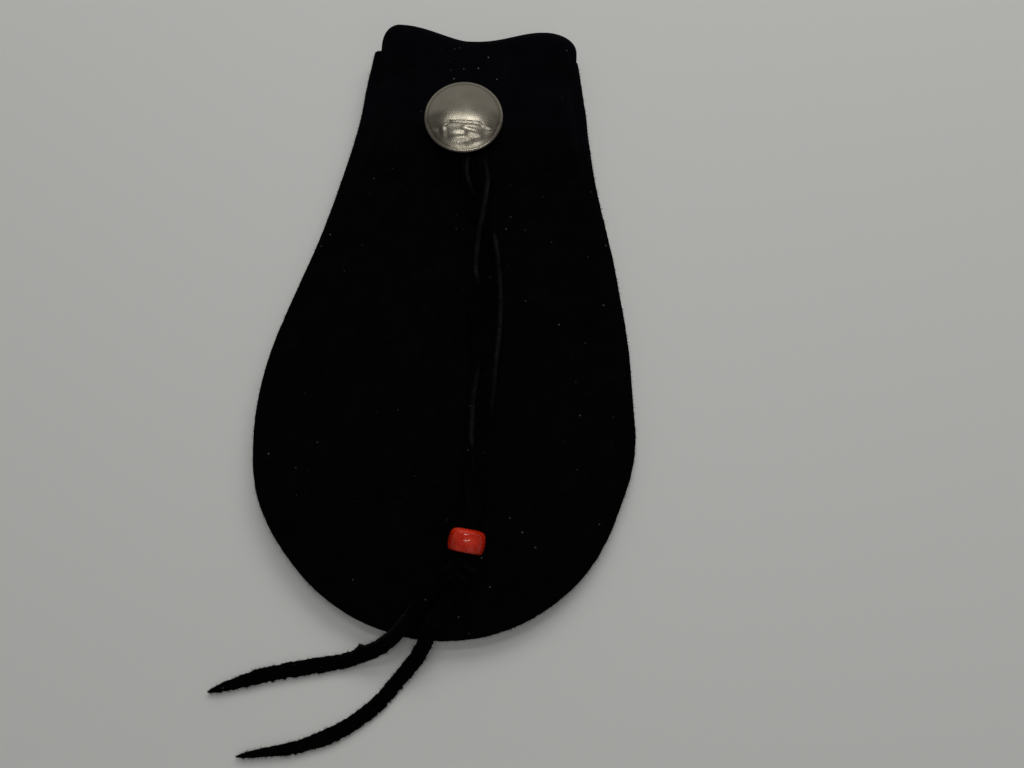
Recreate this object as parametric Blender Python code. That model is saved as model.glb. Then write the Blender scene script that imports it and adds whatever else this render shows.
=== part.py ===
"""A flat suede pouch with its neck folded over as a flap, a domed coin on a snap, and a doubled lace.

The pouch lies on its back. Z = 0 is the surface under it, +Y points to the fold, +X to its right seen
from the front, and the origin is under the middle of the pouch. All sizes are in metres.
"""

import math

import bmesh
import bpy
from mathutils import Vector

MM = 0.001

# Hide and fits
LEATHER = 1.0 * MM
FIT = 0.3 * MM
TURN_GAP = 0.3 * MM
SEAM_ALLOWANCE = 4.0 * MM
DRAPE_GAP = 0.45 * MM

# Pouch outline, seen from the front
BAG_LENGTH = 168.7 * MM
BELLY_WIDTH = 97.8 * MM
BELLY_TO_BOTTOM = 52.95 * MM
NECK_WIDTH = 61.9 * MM
NECK_POWER = 0.9
NECK_LEAN = 2.6 * MM
LEAN_START = -25.0 * MM
LEAN_END = 27.0 * MM
LEAN_BACK = 0.2 * MM
LEAN_BACK_START = 50.0 * MM
LEAN_BACK_END = 70.0 * MM
BOTTOM_LEAN = 1.1 * MM
BELLY_SAG = 0.7 * MM
BELLY_SAG_Y = -52.0 * MM
BELLY_SAG_REACH = 17.0 * MM
MOUTH_BELOW_CREST = 9.95 * MM
MOUTH_DROP = 0.2 * MM
MOUTH_TILT = 2.4 * MM
MOUTH_RIGHT_LIFT = 4.0 * MM
MOUTH_RIGHT_LIFT_LENGTH = 12.0 * MM
MOUTH_ROUND_LEFT = 1.1 * MM
MOUTH_ROUND_LEFT_LENGTH = 14.0 * MM
MOUTH_ROUND_RIGHT = 2.3 * MM
MOUTH_ROUND_RIGHT_LENGTH = 13.0 * MM
MOUTH_ROUND_POWER = 1.4

# Fullness of the front
DOME = 2.4 * MM
DOME_POWER = 3.0

# Fold at the top, and flap
FOLD_DIP = 4.0 * MM
FOLD_DIP_AT = -0.13
FOLD_PUFF = 1.2 * MM
FOLD_LEFT_PUFF_AT = -0.84
FOLD_LEFT_POWER = 1.5
FOLD_RIGHT_PUFF_AT = 0.69
FOLD_RIGHT_POWER = 2.7
FOLD_RIGHT_SHARE = 0.85
FOLD_CORNER_DROP = 2.6 * MM
FOLD_CORNER_DIP = 4.5 * MM
FLAP_LENGTH = 50.95 * MM
FLAP_SIDE_LENGTH = 43.95 * MM
FLAP_INSET = 3.75 * MM
FLAP_SHIFT = 0.4 * MM
FLAP_END_POWER = 2.2
FLAP_CORNER = 1.6 * MM
FLAP_CORNER_POWER = 10
FLAP_SETTLE = 14.0 * MM

# Coin and snap
COIN_BELOW_CREST = 31.55 * MM
COIN_X = 0.2 * MM
COIN_RADIUS = 10.6 * MM
COIN_THICKNESS = 1.4 * MM
COIN_DOME = 1.8 * MM
COIN_RIM_WIDTH = 0.8 * MM
COIN_RIM_RISE = 0.2 * MM
COIN_RELIEF = 0.35 * MM
COIN_PEAKS = ((-0.25, 0.30, 0.9), (0.22, 0.50, 1.1), (0.62, 0.10, 0.8), (-0.68, 0.05, 0.7))
COIN_GROUND = -0.38
COIN_GROUND_DEPTH = 0.55
COIN_SUN_U = -0.35
COIN_SUN_V = 0.62
COIN_SUN_RADIUS = 0.22
COIN_EDGE_BLEND = 0.12
CAP_RADIUS = 6.0 * MM
POST_RADIUS = 1.5 * MM
FLARE_RADIUS = 2.3 * MM
FLARE_THICKNESS = 0.4 * MM
SOCKET_RADIUS = 5.4 * MM
SOCKET_WALL = 0.8 * MM
SOCKET_PLATE = 0.5 * MM
SOCKET_LIP = 0.4 * MM
STUD_RADIUS = 5.0 * MM
STUD_FLANGE = 0.5 * MM
KNOB_RADIUS = 3.0 * MM
KNOB_WAIST = 0.4 * MM
KNOB_RISE = 1.5 * MM
KNOB_ROUND = 0.25 * MM
EYELET_RADIUS = 4.5 * MM
EYELET_FLANGE = 0.4 * MM
EYELET_POST_RADIUS = 1.2 * MM
SEAT_MARGIN = 4.2 * MM
SEAT_SLOPE = 7.0 * MM

# Lace, bead and knot
LACE_WIDTH = 3.2 * MM
LACE_THICKNESS = 1.3 * MM
LACE_SQUEEZE = 0.88
LACE_TAIL = 1.1
LACE_TIP = 0.15
LACE_TIP_LENGTH = 11.0 * MM
BEAD_RADIUS = 4.2 * MM
BEAD_LENGTH = 5.3 * MM
BEAD_BORE_RADIUS = 2.0 * MM
BEAD_ROUND = 0.9 * MM
BEAD_X = 7.8 * MM
BEAD_Y = -59.7 * MM
BEAD_AXIS = Vector((0.14, 1.0, 0.03)).normalized()
KNOT_WIDTH = 7.6 * MM
KNOT_LENGTH = 6.2 * MM
KNOT_HEIGHT = 6.0 * MM
KNOT_BELOW_BEAD = 1.0 * MM
KNOT_SHIFT = Vector((-0.5, 0, -1.0)) * MM
KNOT_GROOVE = 0.45 * MM
KNOT_WRAPS = 2.5
KNOT_WRAP_DIRECTION = Vector((0.55, 0.8, 0.25)).normalized()

# Route of the lace: x, y and z in millimetres and its roll onto its edge in degrees, from the knot up round
# the post and back, then its tails
LACE_LOOP = (
    (7.25, -63.0, 10.7, 0),
    (8.3, -56.6, 10.8, 0),
    (9.1, -52.2, 10.2, 0),
    (10.1, -46.5, 9.2, 0),
    (10.5, -40.5, 8.4, 0),
    (10.8, -32.5, 8.5, -15),
    (11.3, -24.5, 9.0, -50),
    (12.2, -14.0, 9.25, -78),
    (12.6, -8.7, 9.25, -78),
    (12.5, 2.1, 9.25, -78),
    (10.5, 16.0, 9.2, -70),
    (7.8, 22.8, 8.3, -5),
    (4.9, 27.2, 8.4, -5),
    (2.8, 31.4, 10.0, -50),
    (1.85, 35.2, 10.7, -74),
    (1.3, 39.4, 10.45, -58),
    (0.9, 41.9, 9.7, 0),
    (-2.5, 48.4, 9.7, 0),
    (-3.4, 51.0, 9.7, 0),
    (-3.4, 53.7, 9.7, 0),
    (-1.95, 56.05, 9.7, 0),
    (0.6, 56.75, 9.7, 0),
    (3.0, 55.6, 9.7, 0),
    (4.05, 53.2, 9.7, 0),
    (4.3, 50.0, 9.7, 0),
    (5.5, 41.9, 9.7, 0),
    (6.0, 39.2, 10.3, 50),
    (7.2, 34.8, 10.9, 64),
    (7.3, 29.9, 11.6, 74),
    (6.7, 24.0, 11.3, 75),
    (5.9, 18.6, 9.8, 78),
    (5.6, 10.1, 9.25, 78),
    (6.0, 3.0, 8.8, 25),
    (6.6, -6.1, 8.4, 5),
    (7.2, -14.0, 8.6, 20),
    (7.1, -19.5, 9.1, 60),
    (7.0, -24.7, 9.25, 78),
    (6.8, -34.0, 9.2, 65),
    (7.1, -40.0, 9.5, 25),
    (7.9, -46.0, 10.5, 5),
    (8.7, -51.8, 11.7, 0),
    (8.3, -56.6, 12.3, 0),
    (7.35, -63.0, 12.1, 0),
)
LACE_TAIL_LEFT = (
    (2.75, -68.2, 9.4, 0),
    (0.4, -70.7, 8.2, 0),
    (-2.4, -74.2, 7.0, 0),
    (-5.3, -78.4, 6.5, 0),
    (-8.1, -82.1, 6.2, 0),
    (-11.3, -84.9, 5.0, 0),
    (-15.1, -87.1, 2.7, 0),
    (-21.5, -89.6, 1.0, 0),
    (-29.1, -91.1, 0.8, 0),
    (-40.5, -93.8, 0.8, 0),
    (-47.0, -95.9, 0.8, 0),
    (-53.1, -98.1, 0.8, 0),
)
LACE_TAIL_RIGHT = (
    (6.1, -70.2, 9.3, 0),
    (3.8, -73.2, 7.8, 0),
    (1.4, -77.4, 6.8, 0),
    (-0.4, -81.7, 6.4, 0),
    (-1.7, -85.2, 5.5, 0),
    (-4.0, -88.8, 3.1, 0),
    (-7.7, -93.7, 1.1, 0),
    (-12.6, -99.4, 0.8, 0),
    (-20.5, -105.3, 0.8, 0),
    (-29.9, -109.2, 0.8, 0),
    (-38.3, -110.9, 0.8, 0),
    (-44.5, -112.1, 0.8, 0),
)

# Sewing thread
THREAD_RADIUS = 0.15 * MM

# Mesh resolution
NECK_ROWS = 17
BOTTOM_RIBS = 22
TURN_STEPS = 4
BACK_COLUMNS = 6
FRONT_COLUMNS = 8
FOLD_STEPS = 8
FLAP_ROWS = 14
ROUND_STEPS = 32
COIN_STEPS = 56
COIN_RINGS = 11
DOME_STEPS = 4
BEAD_ROUND_STEPS = 3
SHARP_ANGLE = math.radians(38)
MERGE_DISTANCE = 0.01 * MM
LACE_POINT_SPACING = 7.0 * MM

# Worked out from the sizes above
CREST_Y = BAG_LENGTH / 2
BOTTOM_Y = -BAG_LENGTH / 2
BELLY_Y = BOTTOM_Y + BELLY_TO_BOTTOM
MOUTH_Y = CREST_Y - MOUTH_BELOW_CREST
TURN_RADIUS = (LEATHER + TURN_GAP) / 2
RIM_RADIUS = TURN_RADIUS + LEATHER / 2
BACK_Z = LEATHER / 2
BACK_ALLOWANCE_Z = BACK_Z + 2 * TURN_RADIUS
FRONT_ALLOWANCE_Z = BACK_ALLOWANCE_Z + LEATHER + FIT
FRONT_RIM_Z = FRONT_ALLOWANCE_Z + 2 * TURN_RADIUS
SEAM_Z = (BACK_ALLOWANCE_Z + FRONT_ALLOWANCE_Z) / 2
SNAP_STACK = 4 * FIT + STUD_FLANGE + KNOB_RISE + FLARE_THICKNESS + SOCKET_PLATE


def smooth(t):
    """0 to 1 with level ends."""
    t = min(max(t, 0.0), 1.0)
    return t * t * (3 - 2 * t)


def half_width(y):
    """Half the pouch's width: an ellipse below the belly, a raised cosine from there to the mouth."""
    if y < BELLY_Y:
        t = min((BELLY_Y - y) / BELLY_TO_BOTTOM, 1.0)
        return BELLY_WIDTH / 2 * math.sqrt(1 - t * t)
    t = min((y - BELLY_Y) / (MOUTH_Y - BELLY_Y), 1.0) ** NECK_POWER
    return NECK_WIDTH / 2 + (BELLY_WIDTH - NECK_WIDTH) / 4 * (1 + math.cos(math.pi * t))


def centre_x(y):
    """The pouch was cut by hand: its neck and its bottom sit a little right of its belly."""
    below = max(BELLY_Y - y, 0) / BELLY_TO_BOTTOM
    neck = NECK_LEAN * smooth((y - LEAN_START) / (LEAN_END - LEAN_START))
    top = LEAN_BACK * smooth((y - LEAN_BACK_START) / (LEAN_BACK_END - LEAN_BACK_START))
    sag = BELLY_SAG * (1 - smooth(abs(y - BELLY_SAG_Y) / BELLY_SAG_REACH))
    return neck - top - sag + BOTTOM_LEAN * below * below


def rim_rise(side, y):
    """How far a row's end lies above its middle, which grows towards the mouth and its right corner."""
    rise = (-MOUTH_DROP - side * MOUTH_TILT) * smooth((y - BELLY_Y) / (MOUTH_Y - BELLY_Y))
    lift = MOUTH_RIGHT_LIFT * smooth(1 + (y - MOUTH_Y) / MOUTH_RIGHT_LIFT_LENGTH)
    return rise + lift if side > 0 else rise


def corner_round(side, y):
    """How far the side is cut back towards the mouth's corner, more on the right."""
    if side < 0:
        return MOUTH_ROUND_LEFT * max(0, 1 - (MOUTH_Y - y) / MOUTH_ROUND_LEFT_LENGTH) ** MOUTH_ROUND_POWER
    return MOUTH_ROUND_RIGHT * max(0, 1 - (MOUTH_Y - y) / MOUTH_ROUND_RIGHT_LENGTH) ** MOUTH_ROUND_POWER


def share_in(x, y):
    """0 at the turned edge, 1 on the centre line."""
    across = x - centre_x(y)
    if y >= BELLY_Y:
        return max(0.0, 1 - abs(across) / (half_width(y) - RIM_RADIUS))
    reach = math.hypot(
        across / (BELLY_WIDTH / 2 - RIM_RADIUS), (BELLY_Y - y) / (BELLY_TO_BOTTOM - RIM_RADIUS)
    )
    return max(0.0, 1 - reach)


def front_level(x, y):
    """Mid-surface of the full front, without the seat of the snap."""
    return FRONT_RIM_Z + DOME * (1 - (1 - share_in(x, y)) ** DOME_POWER)


def flap_level(x, y):
    """Mid-surface of the flap where it lies on the front."""
    return front_level(x, y) + LEATHER + DRAPE_GAP


SNAP_X = COIN_X
SNAP_Y = CREST_Y - COIN_BELOW_CREST
FLAP_UNDER = flap_level(SNAP_X, SNAP_Y) - LEATHER / 2
FLAP_TOP = FLAP_UNDER + LEATHER
SEAT_TOP = FLAP_UNDER - SNAP_STACK
SEAT_UNDER = SEAT_TOP - LEATHER
COIN_Z = FLAP_TOP + LACE_THICKNESS + 2 * FIT
PLATE_TOP = FLAP_UNDER - FIT
PLATE_UNDER = PLATE_TOP - SOCKET_PLATE
FLANGE_UNDER = SEAT_TOP + FIT
FLANGE_TOP = FLANGE_UNDER + STUD_FLANGE
KNOB_TOP = FLANGE_TOP + KNOB_RISE
EYELET_TOP = SEAT_UNDER - FIT


def seated_front_level(x, y):
    """The front, pulled down to the snap's stud."""
    distance = math.hypot(x - SNAP_X, y - SNAP_Y)
    free = smooth((distance - STUD_RADIUS - SEAT_MARGIN) / SEAT_SLOPE)
    seat = SEAT_TOP - LEATHER / 2
    return seat + (front_level(x, y) - seat) * free


def seated_flap_level(x, y):
    """The flap, held level between the snap's cap and socket."""
    distance = math.hypot(x - SNAP_X, y - SNAP_Y)
    free = smooth((distance - SOCKET_RADIUS - SEAT_MARGIN / 2) / SEAT_SLOPE)
    level = FLAP_UNDER + LEATHER / 2
    return level + (flap_level(x, y) - level) * free


def rim_ribs():
    """Each rib of the seamed outline, left mouth to right: where it meets the rim, and its inner end."""
    heights = [MOUTH_Y + (BELLY_Y - MOUTH_Y) * i / NECK_ROWS for i in range(NECK_ROWS)]
    left = [neck_rib(-1, y) for y in heights]
    bottom = [bottom_rib(math.pi * i / BOTTOM_RIBS) for i in range(BOTTOM_RIBS + 1)]
    right = [neck_rib(1, y) for y in reversed(heights)]
    return left + bottom + right


def neck_rib(side, y):
    half = half_width(y) - corner_round(side, y)
    rim = Vector((centre_x(y) + side * half, y + rim_rise(side, y), 0))
    middle = Vector((centre_x(y), y, 0))
    return rim, middle


def bottom_rib(angle):
    """angle runs from 0 at the left of the belly to pi at its right."""
    y = BELLY_Y - BELLY_TO_BOTTOM * math.sin(angle)
    rim = Vector((centre_x(y) - BELLY_WIDTH / 2 * math.cos(angle), y, 0))
    return rim, Vector((centre_x(BELLY_Y), BELLY_Y, 0))


def turned_edge(rim, middle, face_z, allowance_z):
    """The turned-in edge of one rib, from the tip of the allowance round to the face of the panel."""
    inward = (middle - rim).normalized()
    mid_z = (face_z + allowance_z) / 2
    turn = math.copysign(TURN_RADIUS, face_z - allowance_z)
    points = [rim + inward * (RIM_RADIUS + SEAM_ALLOWANCE) + Vector((0, 0, allowance_z))]
    for i in range(TURN_STEPS + 1):
        a = math.pi * i / TURN_STEPS
        out = TURN_RADIUS * math.sin(a)
        points.append(rim + inward * (RIM_RADIUS - out) + Vector((0, 0, mid_z - turn * math.cos(a))))
    return points


def panel_face(rim, middle, columns, level):
    """The face of the panel along one rib, from its turned edge in to the centre line."""
    inward = (middle - rim).normalized()
    start = rim + inward * RIM_RADIUS
    points = []
    for j in range(1, columns + 1):
        p = start.lerp(middle, j / columns)
        points.append(Vector((p.x, p.y, level(p.x, p.y))))
    return points


def add_grid(mesh, rows):
    """Faces between neighbouring rows of points; rows may share points."""
    made = [[mesh.verts.new(p) for p in row] for row in rows]
    for a, b in zip(made, made[1:]):
        for j in range(len(a) - 1):
            mesh.faces.new((a[j], a[j + 1], b[j + 1], b[j]))


def seamed_rows(columns, level, face_z, allowance_z):
    rows = []
    for rim, middle in rim_ribs():
        edge = turned_edge(rim, middle, face_z, allowance_z)
        edge[-1].z = level(edge[-1].x, edge[-1].y)
        rows.append(edge + panel_face(rim, middle, columns, level))
    return rows


def material(name, colour, roughness, metallic):
    m = bpy.data.materials.new(name)
    m.use_nodes = True
    shader = m.node_tree.nodes["Principled BSDF"]
    shader.inputs["Base Color"].default_value = (*colour, 1)
    shader.inputs["Roughness"].default_value = roughness
    shader.inputs["Metallic"].default_value = metallic
    return m


def finish_object(name, mesh, paint):
    obj = bpy.data.objects.new(name, mesh)
    bpy.context.collection.objects.link(obj)
    mesh.materials.append(paint)
    return obj


def hide_sheet(name, mesh, paint, hole_radius, hole_z):
    """A mid-surface made into hide of even thickness, with the snap's hole through it."""
    bmesh.ops.remove_doubles(mesh, verts=mesh.verts, dist=MERGE_DISTANCE)
    bmesh.ops.recalc_face_normals(mesh, faces=mesh.faces)
    data = bpy.data.meshes.new(name)
    mesh.to_mesh(data)
    mesh.free()
    data.shade_smooth()
    data.set_sharp_from_angle(angle=SHARP_ANGLE)
    obj = finish_object(name, data, paint)
    solid = obj.modifiers.new("thickness", "SOLIDIFY")
    solid.thickness = LEATHER
    solid.offset = 0
    solid.use_even_offset = True
    cutter = lathe(
        name + "_cutter",
        [(0, -LEATHER * 2), (hole_radius, -LEATHER * 2), (hole_radius, LEATHER * 2), (0, LEATHER * 2)],
        paint,
    )
    cutter.location = (SNAP_X, SNAP_Y, hole_z)
    cutter.hide_render = True
    cutter.display_type = "WIRE"
    hole = obj.modifiers.new("snap hole", "BOOLEAN")
    hole.operation = "DIFFERENCE"
    hole.object = cutter
    return obj


def lathe(name, profile, paint, steps=ROUND_STEPS):
    """A solid turned about Z. A profile that starts and ends at radius 0 is a disc; any other is a ring."""
    mesh = bmesh.new()
    rings = []
    for radius, z in profile:
        if radius == 0:
            rings.append([mesh.verts.new((0, 0, z))])
            continue
        ring = []
        for i in range(steps):
            a = 2 * math.pi * i / steps
            ring.append(mesh.verts.new((radius * math.cos(a), radius * math.sin(a), z)))
        rings.append(ring)
    closed = profile[0][0] > 0
    pairs = list(zip(rings, rings[1:])) + ([(rings[-1], rings[0])] if closed else [])
    for a, b in pairs:
        for i in range(steps):
            k = (i + 1) % steps
            if len(a) == 1:
                mesh.faces.new((a[0], b[k], b[i]))
            elif len(b) == 1:
                mesh.faces.new((a[i], a[k], b[0]))
            else:
                mesh.faces.new((a[i], a[k], b[k], b[i]))
    bmesh.ops.recalc_face_normals(mesh, faces=mesh.faces)
    data = bpy.data.meshes.new(name)
    mesh.to_mesh(data)
    mesh.free()
    data.shade_smooth()
    data.set_sharp_from_angle(angle=SHARP_ANGLE)
    return finish_object(name, data, paint)


def front_panel(paint):
    mesh = bmesh.new()
    rows = seamed_rows(FRONT_COLUMNS, seated_front_level, FRONT_RIM_Z, FRONT_ALLOWANCE_Z)
    add_grid(mesh, rows)
    seat = SEAT_TOP - LEATHER / 2
    return hide_sheet("front_panel", mesh, paint, EYELET_POST_RADIUS + FIT, seat)


def back_level(x, y):
    return BACK_Z


def flap_half(y):
    return half_width(y) - FLAP_INSET


def fold_shape(u):
    """Across the fold: 0 at the snap's pull to 1 at a puff, and 0 at a puff to 1 at the corner past it."""
    on_left = u < FOLD_DIP_AT
    puff_at = FOLD_LEFT_PUFF_AT if on_left else FOLD_RIGHT_PUFF_AT
    power = FOLD_LEFT_POWER if on_left else FOLD_RIGHT_POWER
    share = 1 if on_left else FOLD_RIGHT_SHARE
    puff = math.sin(math.pi / 2 * min((u - FOLD_DIP_AT) / (puff_at - FOLD_DIP_AT), 1)) ** power
    past = max(0, (abs(u) - abs(puff_at)) / (1 - abs(puff_at)))
    return share * puff, 1 - math.sqrt(1 - past * past)


def fold_height(u):
    """Top of the fold's mid-surface: low at the snap's pull, puffed towards both sides."""
    puff, corner = fold_shape(u)
    start_y = CREST_Y - FOLD_DIP
    middle = flap_level(centre_x(start_y), start_y)
    return middle + FOLD_PUFF * puff - FOLD_CORNER_DROP * corner


def fold_line(u):
    """The fold's furthest reach along Y, of its mid-surface."""
    puff, corner = fold_shape(u)
    return CREST_Y - LEATHER / 2 - FOLD_DIP * (1 - puff) - FOLD_CORNER_DIP * corner


def flap_end(u):
    side = (FLAP_LENGTH - FLAP_SIDE_LENGTH) * abs(u) ** FLAP_END_POWER
    return CREST_Y - FLAP_LENGTH + side


def edge_and_face(side, columns):
    """The back's row at the mouth, from one turned edge to the middle."""
    rim, middle = neck_rib(side, MOUTH_Y)
    start = rim + (middle - rim).normalized() * RIM_RADIUS
    return [Vector((start.x, start.y, BACK_Z))] + panel_face(rim, middle, columns, back_level)


def fold_and_flap_rows(columns):
    """Rows from the mouth, over the fold and down the flap, each from its left edge to its right."""
    shares = [math.sin(math.pi / 2 * j / columns) for j in range(-columns, columns + 1)]
    radius = {u: (fold_height(u) - BACK_Z) / 2 for u in shares}
    start = {u: fold_line(u) - radius[u] for u in shares}
    rows = []
    left = edge_and_face(-1, columns)
    right = edge_and_face(1, columns)
    rows.append(left + right[-2::-1])
    fold_half = flap_half(CREST_Y)
    for i in range(FOLD_STEPS + 1):
        a = math.pi * i / FOLD_STEPS
        row = []
        for u in shares:
            x = centre_x(CREST_Y) + FLAP_SHIFT + u * fold_half
            y = start[u] + radius[u] * math.sin(a)
            row.append(Vector((x, y, BACK_Z + radius[u] * (1 - math.cos(a)))))
        rows.append(row)
    for i in range(1, FLAP_ROWS + 1):
        v = i / FLAP_ROWS
        row = []
        for u in shares:
            y = start[u] + (flap_end(u) - start[u]) * v
            corner = FLAP_CORNER * v**FLAP_CORNER_POWER
            x = centre_x(y) + FLAP_SHIFT + u * (flap_half(y) - corner)
            settle = 1 - smooth((start[u] - y) / FLAP_SETTLE)
            puffed = BACK_Z + 2 * radius[u]
            rest = seated_flap_level(x, y)
            row.append(Vector((x, y, rest + (puffed - rest) * settle)))
        rows.append(row)
    return rows


def back_and_flap(paint):
    mesh = bmesh.new()
    add_grid(mesh, seamed_rows(BACK_COLUMNS, back_level, BACK_Z, BACK_ALLOWANCE_Z))
    add_grid(mesh, fold_and_flap_rows(BACK_COLUMNS))
    return hide_sheet("back_and_flap", mesh, paint, POST_RADIUS + FIT, FLAP_UNDER + LEATHER / 2)


def seam_thread(paint):
    """The stitching, as one line at the bottom of the groove between the two turned edges."""
    touch = RIM_RADIUS + THREAD_RADIUS + FIT
    rise = (FRONT_RIM_Z + FRONT_ALLOWANCE_Z) / 2 - SEAM_Z
    depth = RIM_RADIUS - math.sqrt(touch * touch - rise * rise)
    points = []
    for rim, middle in rim_ribs():
        p = rim + (middle - rim).normalized() * depth
        points.append(Vector((p.x, p.y, SEAM_Z)))
    return tube("seam_thread", points, paint, THREAD_RADIUS)


def tube(name, points, paint, radius, extra_width=0.0, shares=None, rolls=None):
    """A round cord, or a flat strap where extra_width is added between its two rounded edges."""
    curve = bpy.data.curves.new(name, "CURVE")
    curve.dimensions = "3D"
    curve.twist_mode = "Z_UP"
    curve.bevel_depth = radius
    curve.bevel_resolution = 2
    curve.extrude = extra_width / 2
    curve.use_fill_caps = True
    spline = curve.splines.new("POLY")
    spline.points.add(len(points) - 1)
    for i, p in enumerate(points):
        spline.points[i].co = (*p, 1)
        spline.points[i].tilt = math.pi / 2 + rolls[i] if extra_width else 0
        spline.points[i].radius = shares[i] if shares else 1
    return finish_object(name, curve, paint)


def smooth_route(route):
    """Points and rolls on a smooth curve through the route's own, more of them on its longer stretches."""
    stops = [Vector(p[:3]) * MM for p in route]
    turns = [math.radians(p[3]) for p in route]
    ends = [stops[0] * 2 - stops[1]] + stops + [stops[-1] * 2 - stops[-2]]
    points = [stops[0]]
    rolls = [turns[0]]
    for a, b, c, d, turn, next_turn in zip(ends, ends[1:], ends[2:], ends[3:], turns, turns[1:]):
        count = max(1, round((c - b).length / LACE_POINT_SPACING))
        for i in range(1, count + 1):
            t = i / count
            start = 2 * b + (c - a) * t
            bend = (2 * a - 5 * b + 4 * c - d) * t**2 + (3 * b - a - 3 * c + d) * t**3
            points.append((start + bend) / 2)
            rolls.append(turn + (next_turn - turn) * t)
    return points, rolls


def lace_loop(paint):
    """Both strands, squeezed where they run through the bead."""
    points, rolls = smooth_route(LACE_LOOP)
    shares = [LACE_SQUEEZE if abs(p.y - BEAD_Y) < BEAD_LENGTH else 1 for p in points]
    return tube("lace_loop", points, paint, LACE_THICKNESS / 2, LACE_WIDTH - LACE_THICKNESS, shares, rolls)


def lace_tail(name, route, paint):
    """A tail, cut a little wider than the loop and to a point."""
    points, rolls = smooth_route(route)
    reach = [(p - points[-1]).length / LACE_TIP_LENGTH for p in points]
    shares = [LACE_TIP + (LACE_TAIL - LACE_TIP) * min(1, math.sqrt(r)) for r in reach]
    return tube(name, points, paint, LACE_THICKNESS / 2, LACE_WIDTH - LACE_THICKNESS, shares, rolls)


def bead_centre():
    upper = front_level(BEAD_X, BEAD_Y + BEAD_LENGTH / 2) + LEATHER / 2
    return Vector((BEAD_X, BEAD_Y, upper + FIT + BEAD_RADIUS))


def bead(paint):
    """A barrel, open end to end."""
    half = BEAD_LENGTH / 2
    quarter = [math.pi / 2 * i / BEAD_ROUND_STEPS for i in range(BEAD_ROUND_STEPS + 1)]
    body = BEAD_RADIUS - BEAD_ROUND
    flat = half - BEAD_ROUND
    lower = [(body + BEAD_ROUND * math.sin(a), -flat - BEAD_ROUND * math.cos(a)) for a in quarter]
    upper = [(r, -z) for r, z in reversed(lower)]
    obj = lathe("bead", [(BEAD_BORE_RADIUS, -half)] + lower + upper + [(BEAD_BORE_RADIUS, half)], paint)
    obj.location = bead_centre()
    obj.rotation_mode = "QUATERNION"
    obj.rotation_quaternion = Vector((0, 0, 1)).rotation_difference(BEAD_AXIS)
    return obj


def lace_knot(paint):
    """The knot as one rounded body, grooved between the turns of the lace."""
    mesh = bmesh.new()
    bmesh.ops.create_uvsphere(mesh, u_segments=20, v_segments=12, radius=1)
    half = Vector((KNOT_WIDTH, KNOT_LENGTH, KNOT_HEIGHT)) / 2
    for vert in mesh.verts:
        turn = vert.co.dot(KNOT_WRAP_DIRECTION) * KNOT_WRAPS * math.pi
        groove = (1 - math.cos(turn)) / 2 * KNOT_GROOVE
        vert.co = Vector([c * (h - groove) for c, h in zip(vert.co, half)])
    data = bpy.data.meshes.new("lace_knot")
    mesh.to_mesh(data)
    mesh.free()
    data.shade_smooth()
    obj = finish_object("lace_knot", data, paint)
    lower_end = BEAD_LENGTH / 2 + KNOT_BELOW_BEAD + KNOT_LENGTH / 2
    obj.location = bead_centre() - BEAD_AXIS * lower_end + KNOT_SHIFT
    return obj


def coin_under(r, a=0):
    return COIN_Z + COIN_DOME * (1 - (r / COIN_RADIUS) ** 2)


def coin_relief(u, v):
    """Height of the struck scene, 0 to 1: peaks over a ground line, and a sun. u and v run from -1 to 1."""
    ridge = max(top - slope * abs(u - at) for at, top, slope in COIN_PEAKS)
    hills = smooth((ridge - v) / COIN_EDGE_BLEND)
    ground = COIN_GROUND_DEPTH * smooth((COIN_GROUND - v) / COIN_EDGE_BLEND)
    sun = smooth((COIN_SUN_RADIUS - math.hypot(u - COIN_SUN_U, v - COIN_SUN_V)) / COIN_EDGE_BLEND)
    return max(hills - ground, sun)


def coin_top(r, a):
    inner = COIN_RADIUS - COIN_RIM_WIDTH
    face = coin_under(r) + COIN_THICKNESS
    if r > inner:
        return face + COIN_RIM_RISE
    fade = smooth((inner - r) / COIN_RIM_WIDTH)
    return face - COIN_RELIEF * fade * (1 - coin_relief(r / inner * math.cos(a), r / inner * math.sin(a)))


def coin(paint):
    """A domed coin with a raised rim and a low relief."""
    mesh = bmesh.new()
    inner = COIN_RADIUS - COIN_RIM_WIDTH
    upper = [inner * i / COIN_RINGS for i in range(1, COIN_RINGS + 1)]
    upper += [inner + COIN_RIM_WIDTH / 4, COIN_RADIUS]
    lower = [COIN_RADIUS * i / DOME_STEPS for i in range(DOME_STEPS, 0, -1)]
    rings = []
    for r in upper:
        rings.append(coin_ring(mesh, r, coin_top))
    for r in lower:
        rings.append(coin_ring(mesh, r, coin_under))
    for a, b in zip(rings, rings[1:]):
        bridge(mesh, a, b)
    top = mesh.verts.new((0, 0, coin_top(0, 0)))
    under = mesh.verts.new((0, 0, coin_under(0)))
    for i in range(COIN_STEPS):
        k = (i + 1) % COIN_STEPS
        mesh.faces.new((top, rings[0][i], rings[0][k]))
        mesh.faces.new((under, rings[-1][k], rings[-1][i]))
    bmesh.ops.recalc_face_normals(mesh, faces=mesh.faces)
    data = bpy.data.meshes.new("coin")
    mesh.to_mesh(data)
    mesh.free()
    data.shade_smooth()
    data.set_sharp_from_angle(angle=SHARP_ANGLE)
    obj = finish_object("coin", data, paint)
    obj.location = (COIN_X, SNAP_Y, 0)
    return obj


def coin_ring(mesh, r, level):
    angles = [2 * math.pi * i / COIN_STEPS for i in range(COIN_STEPS)]
    return [mesh.verts.new((r * math.cos(a), r * math.sin(a), level(r, a))) for a in angles]


def bridge(mesh, a, b):
    for i in range(len(a)):
        k = (i + 1) % len(a)
        mesh.faces.new((a[i], b[i], b[k], a[k]))


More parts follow.
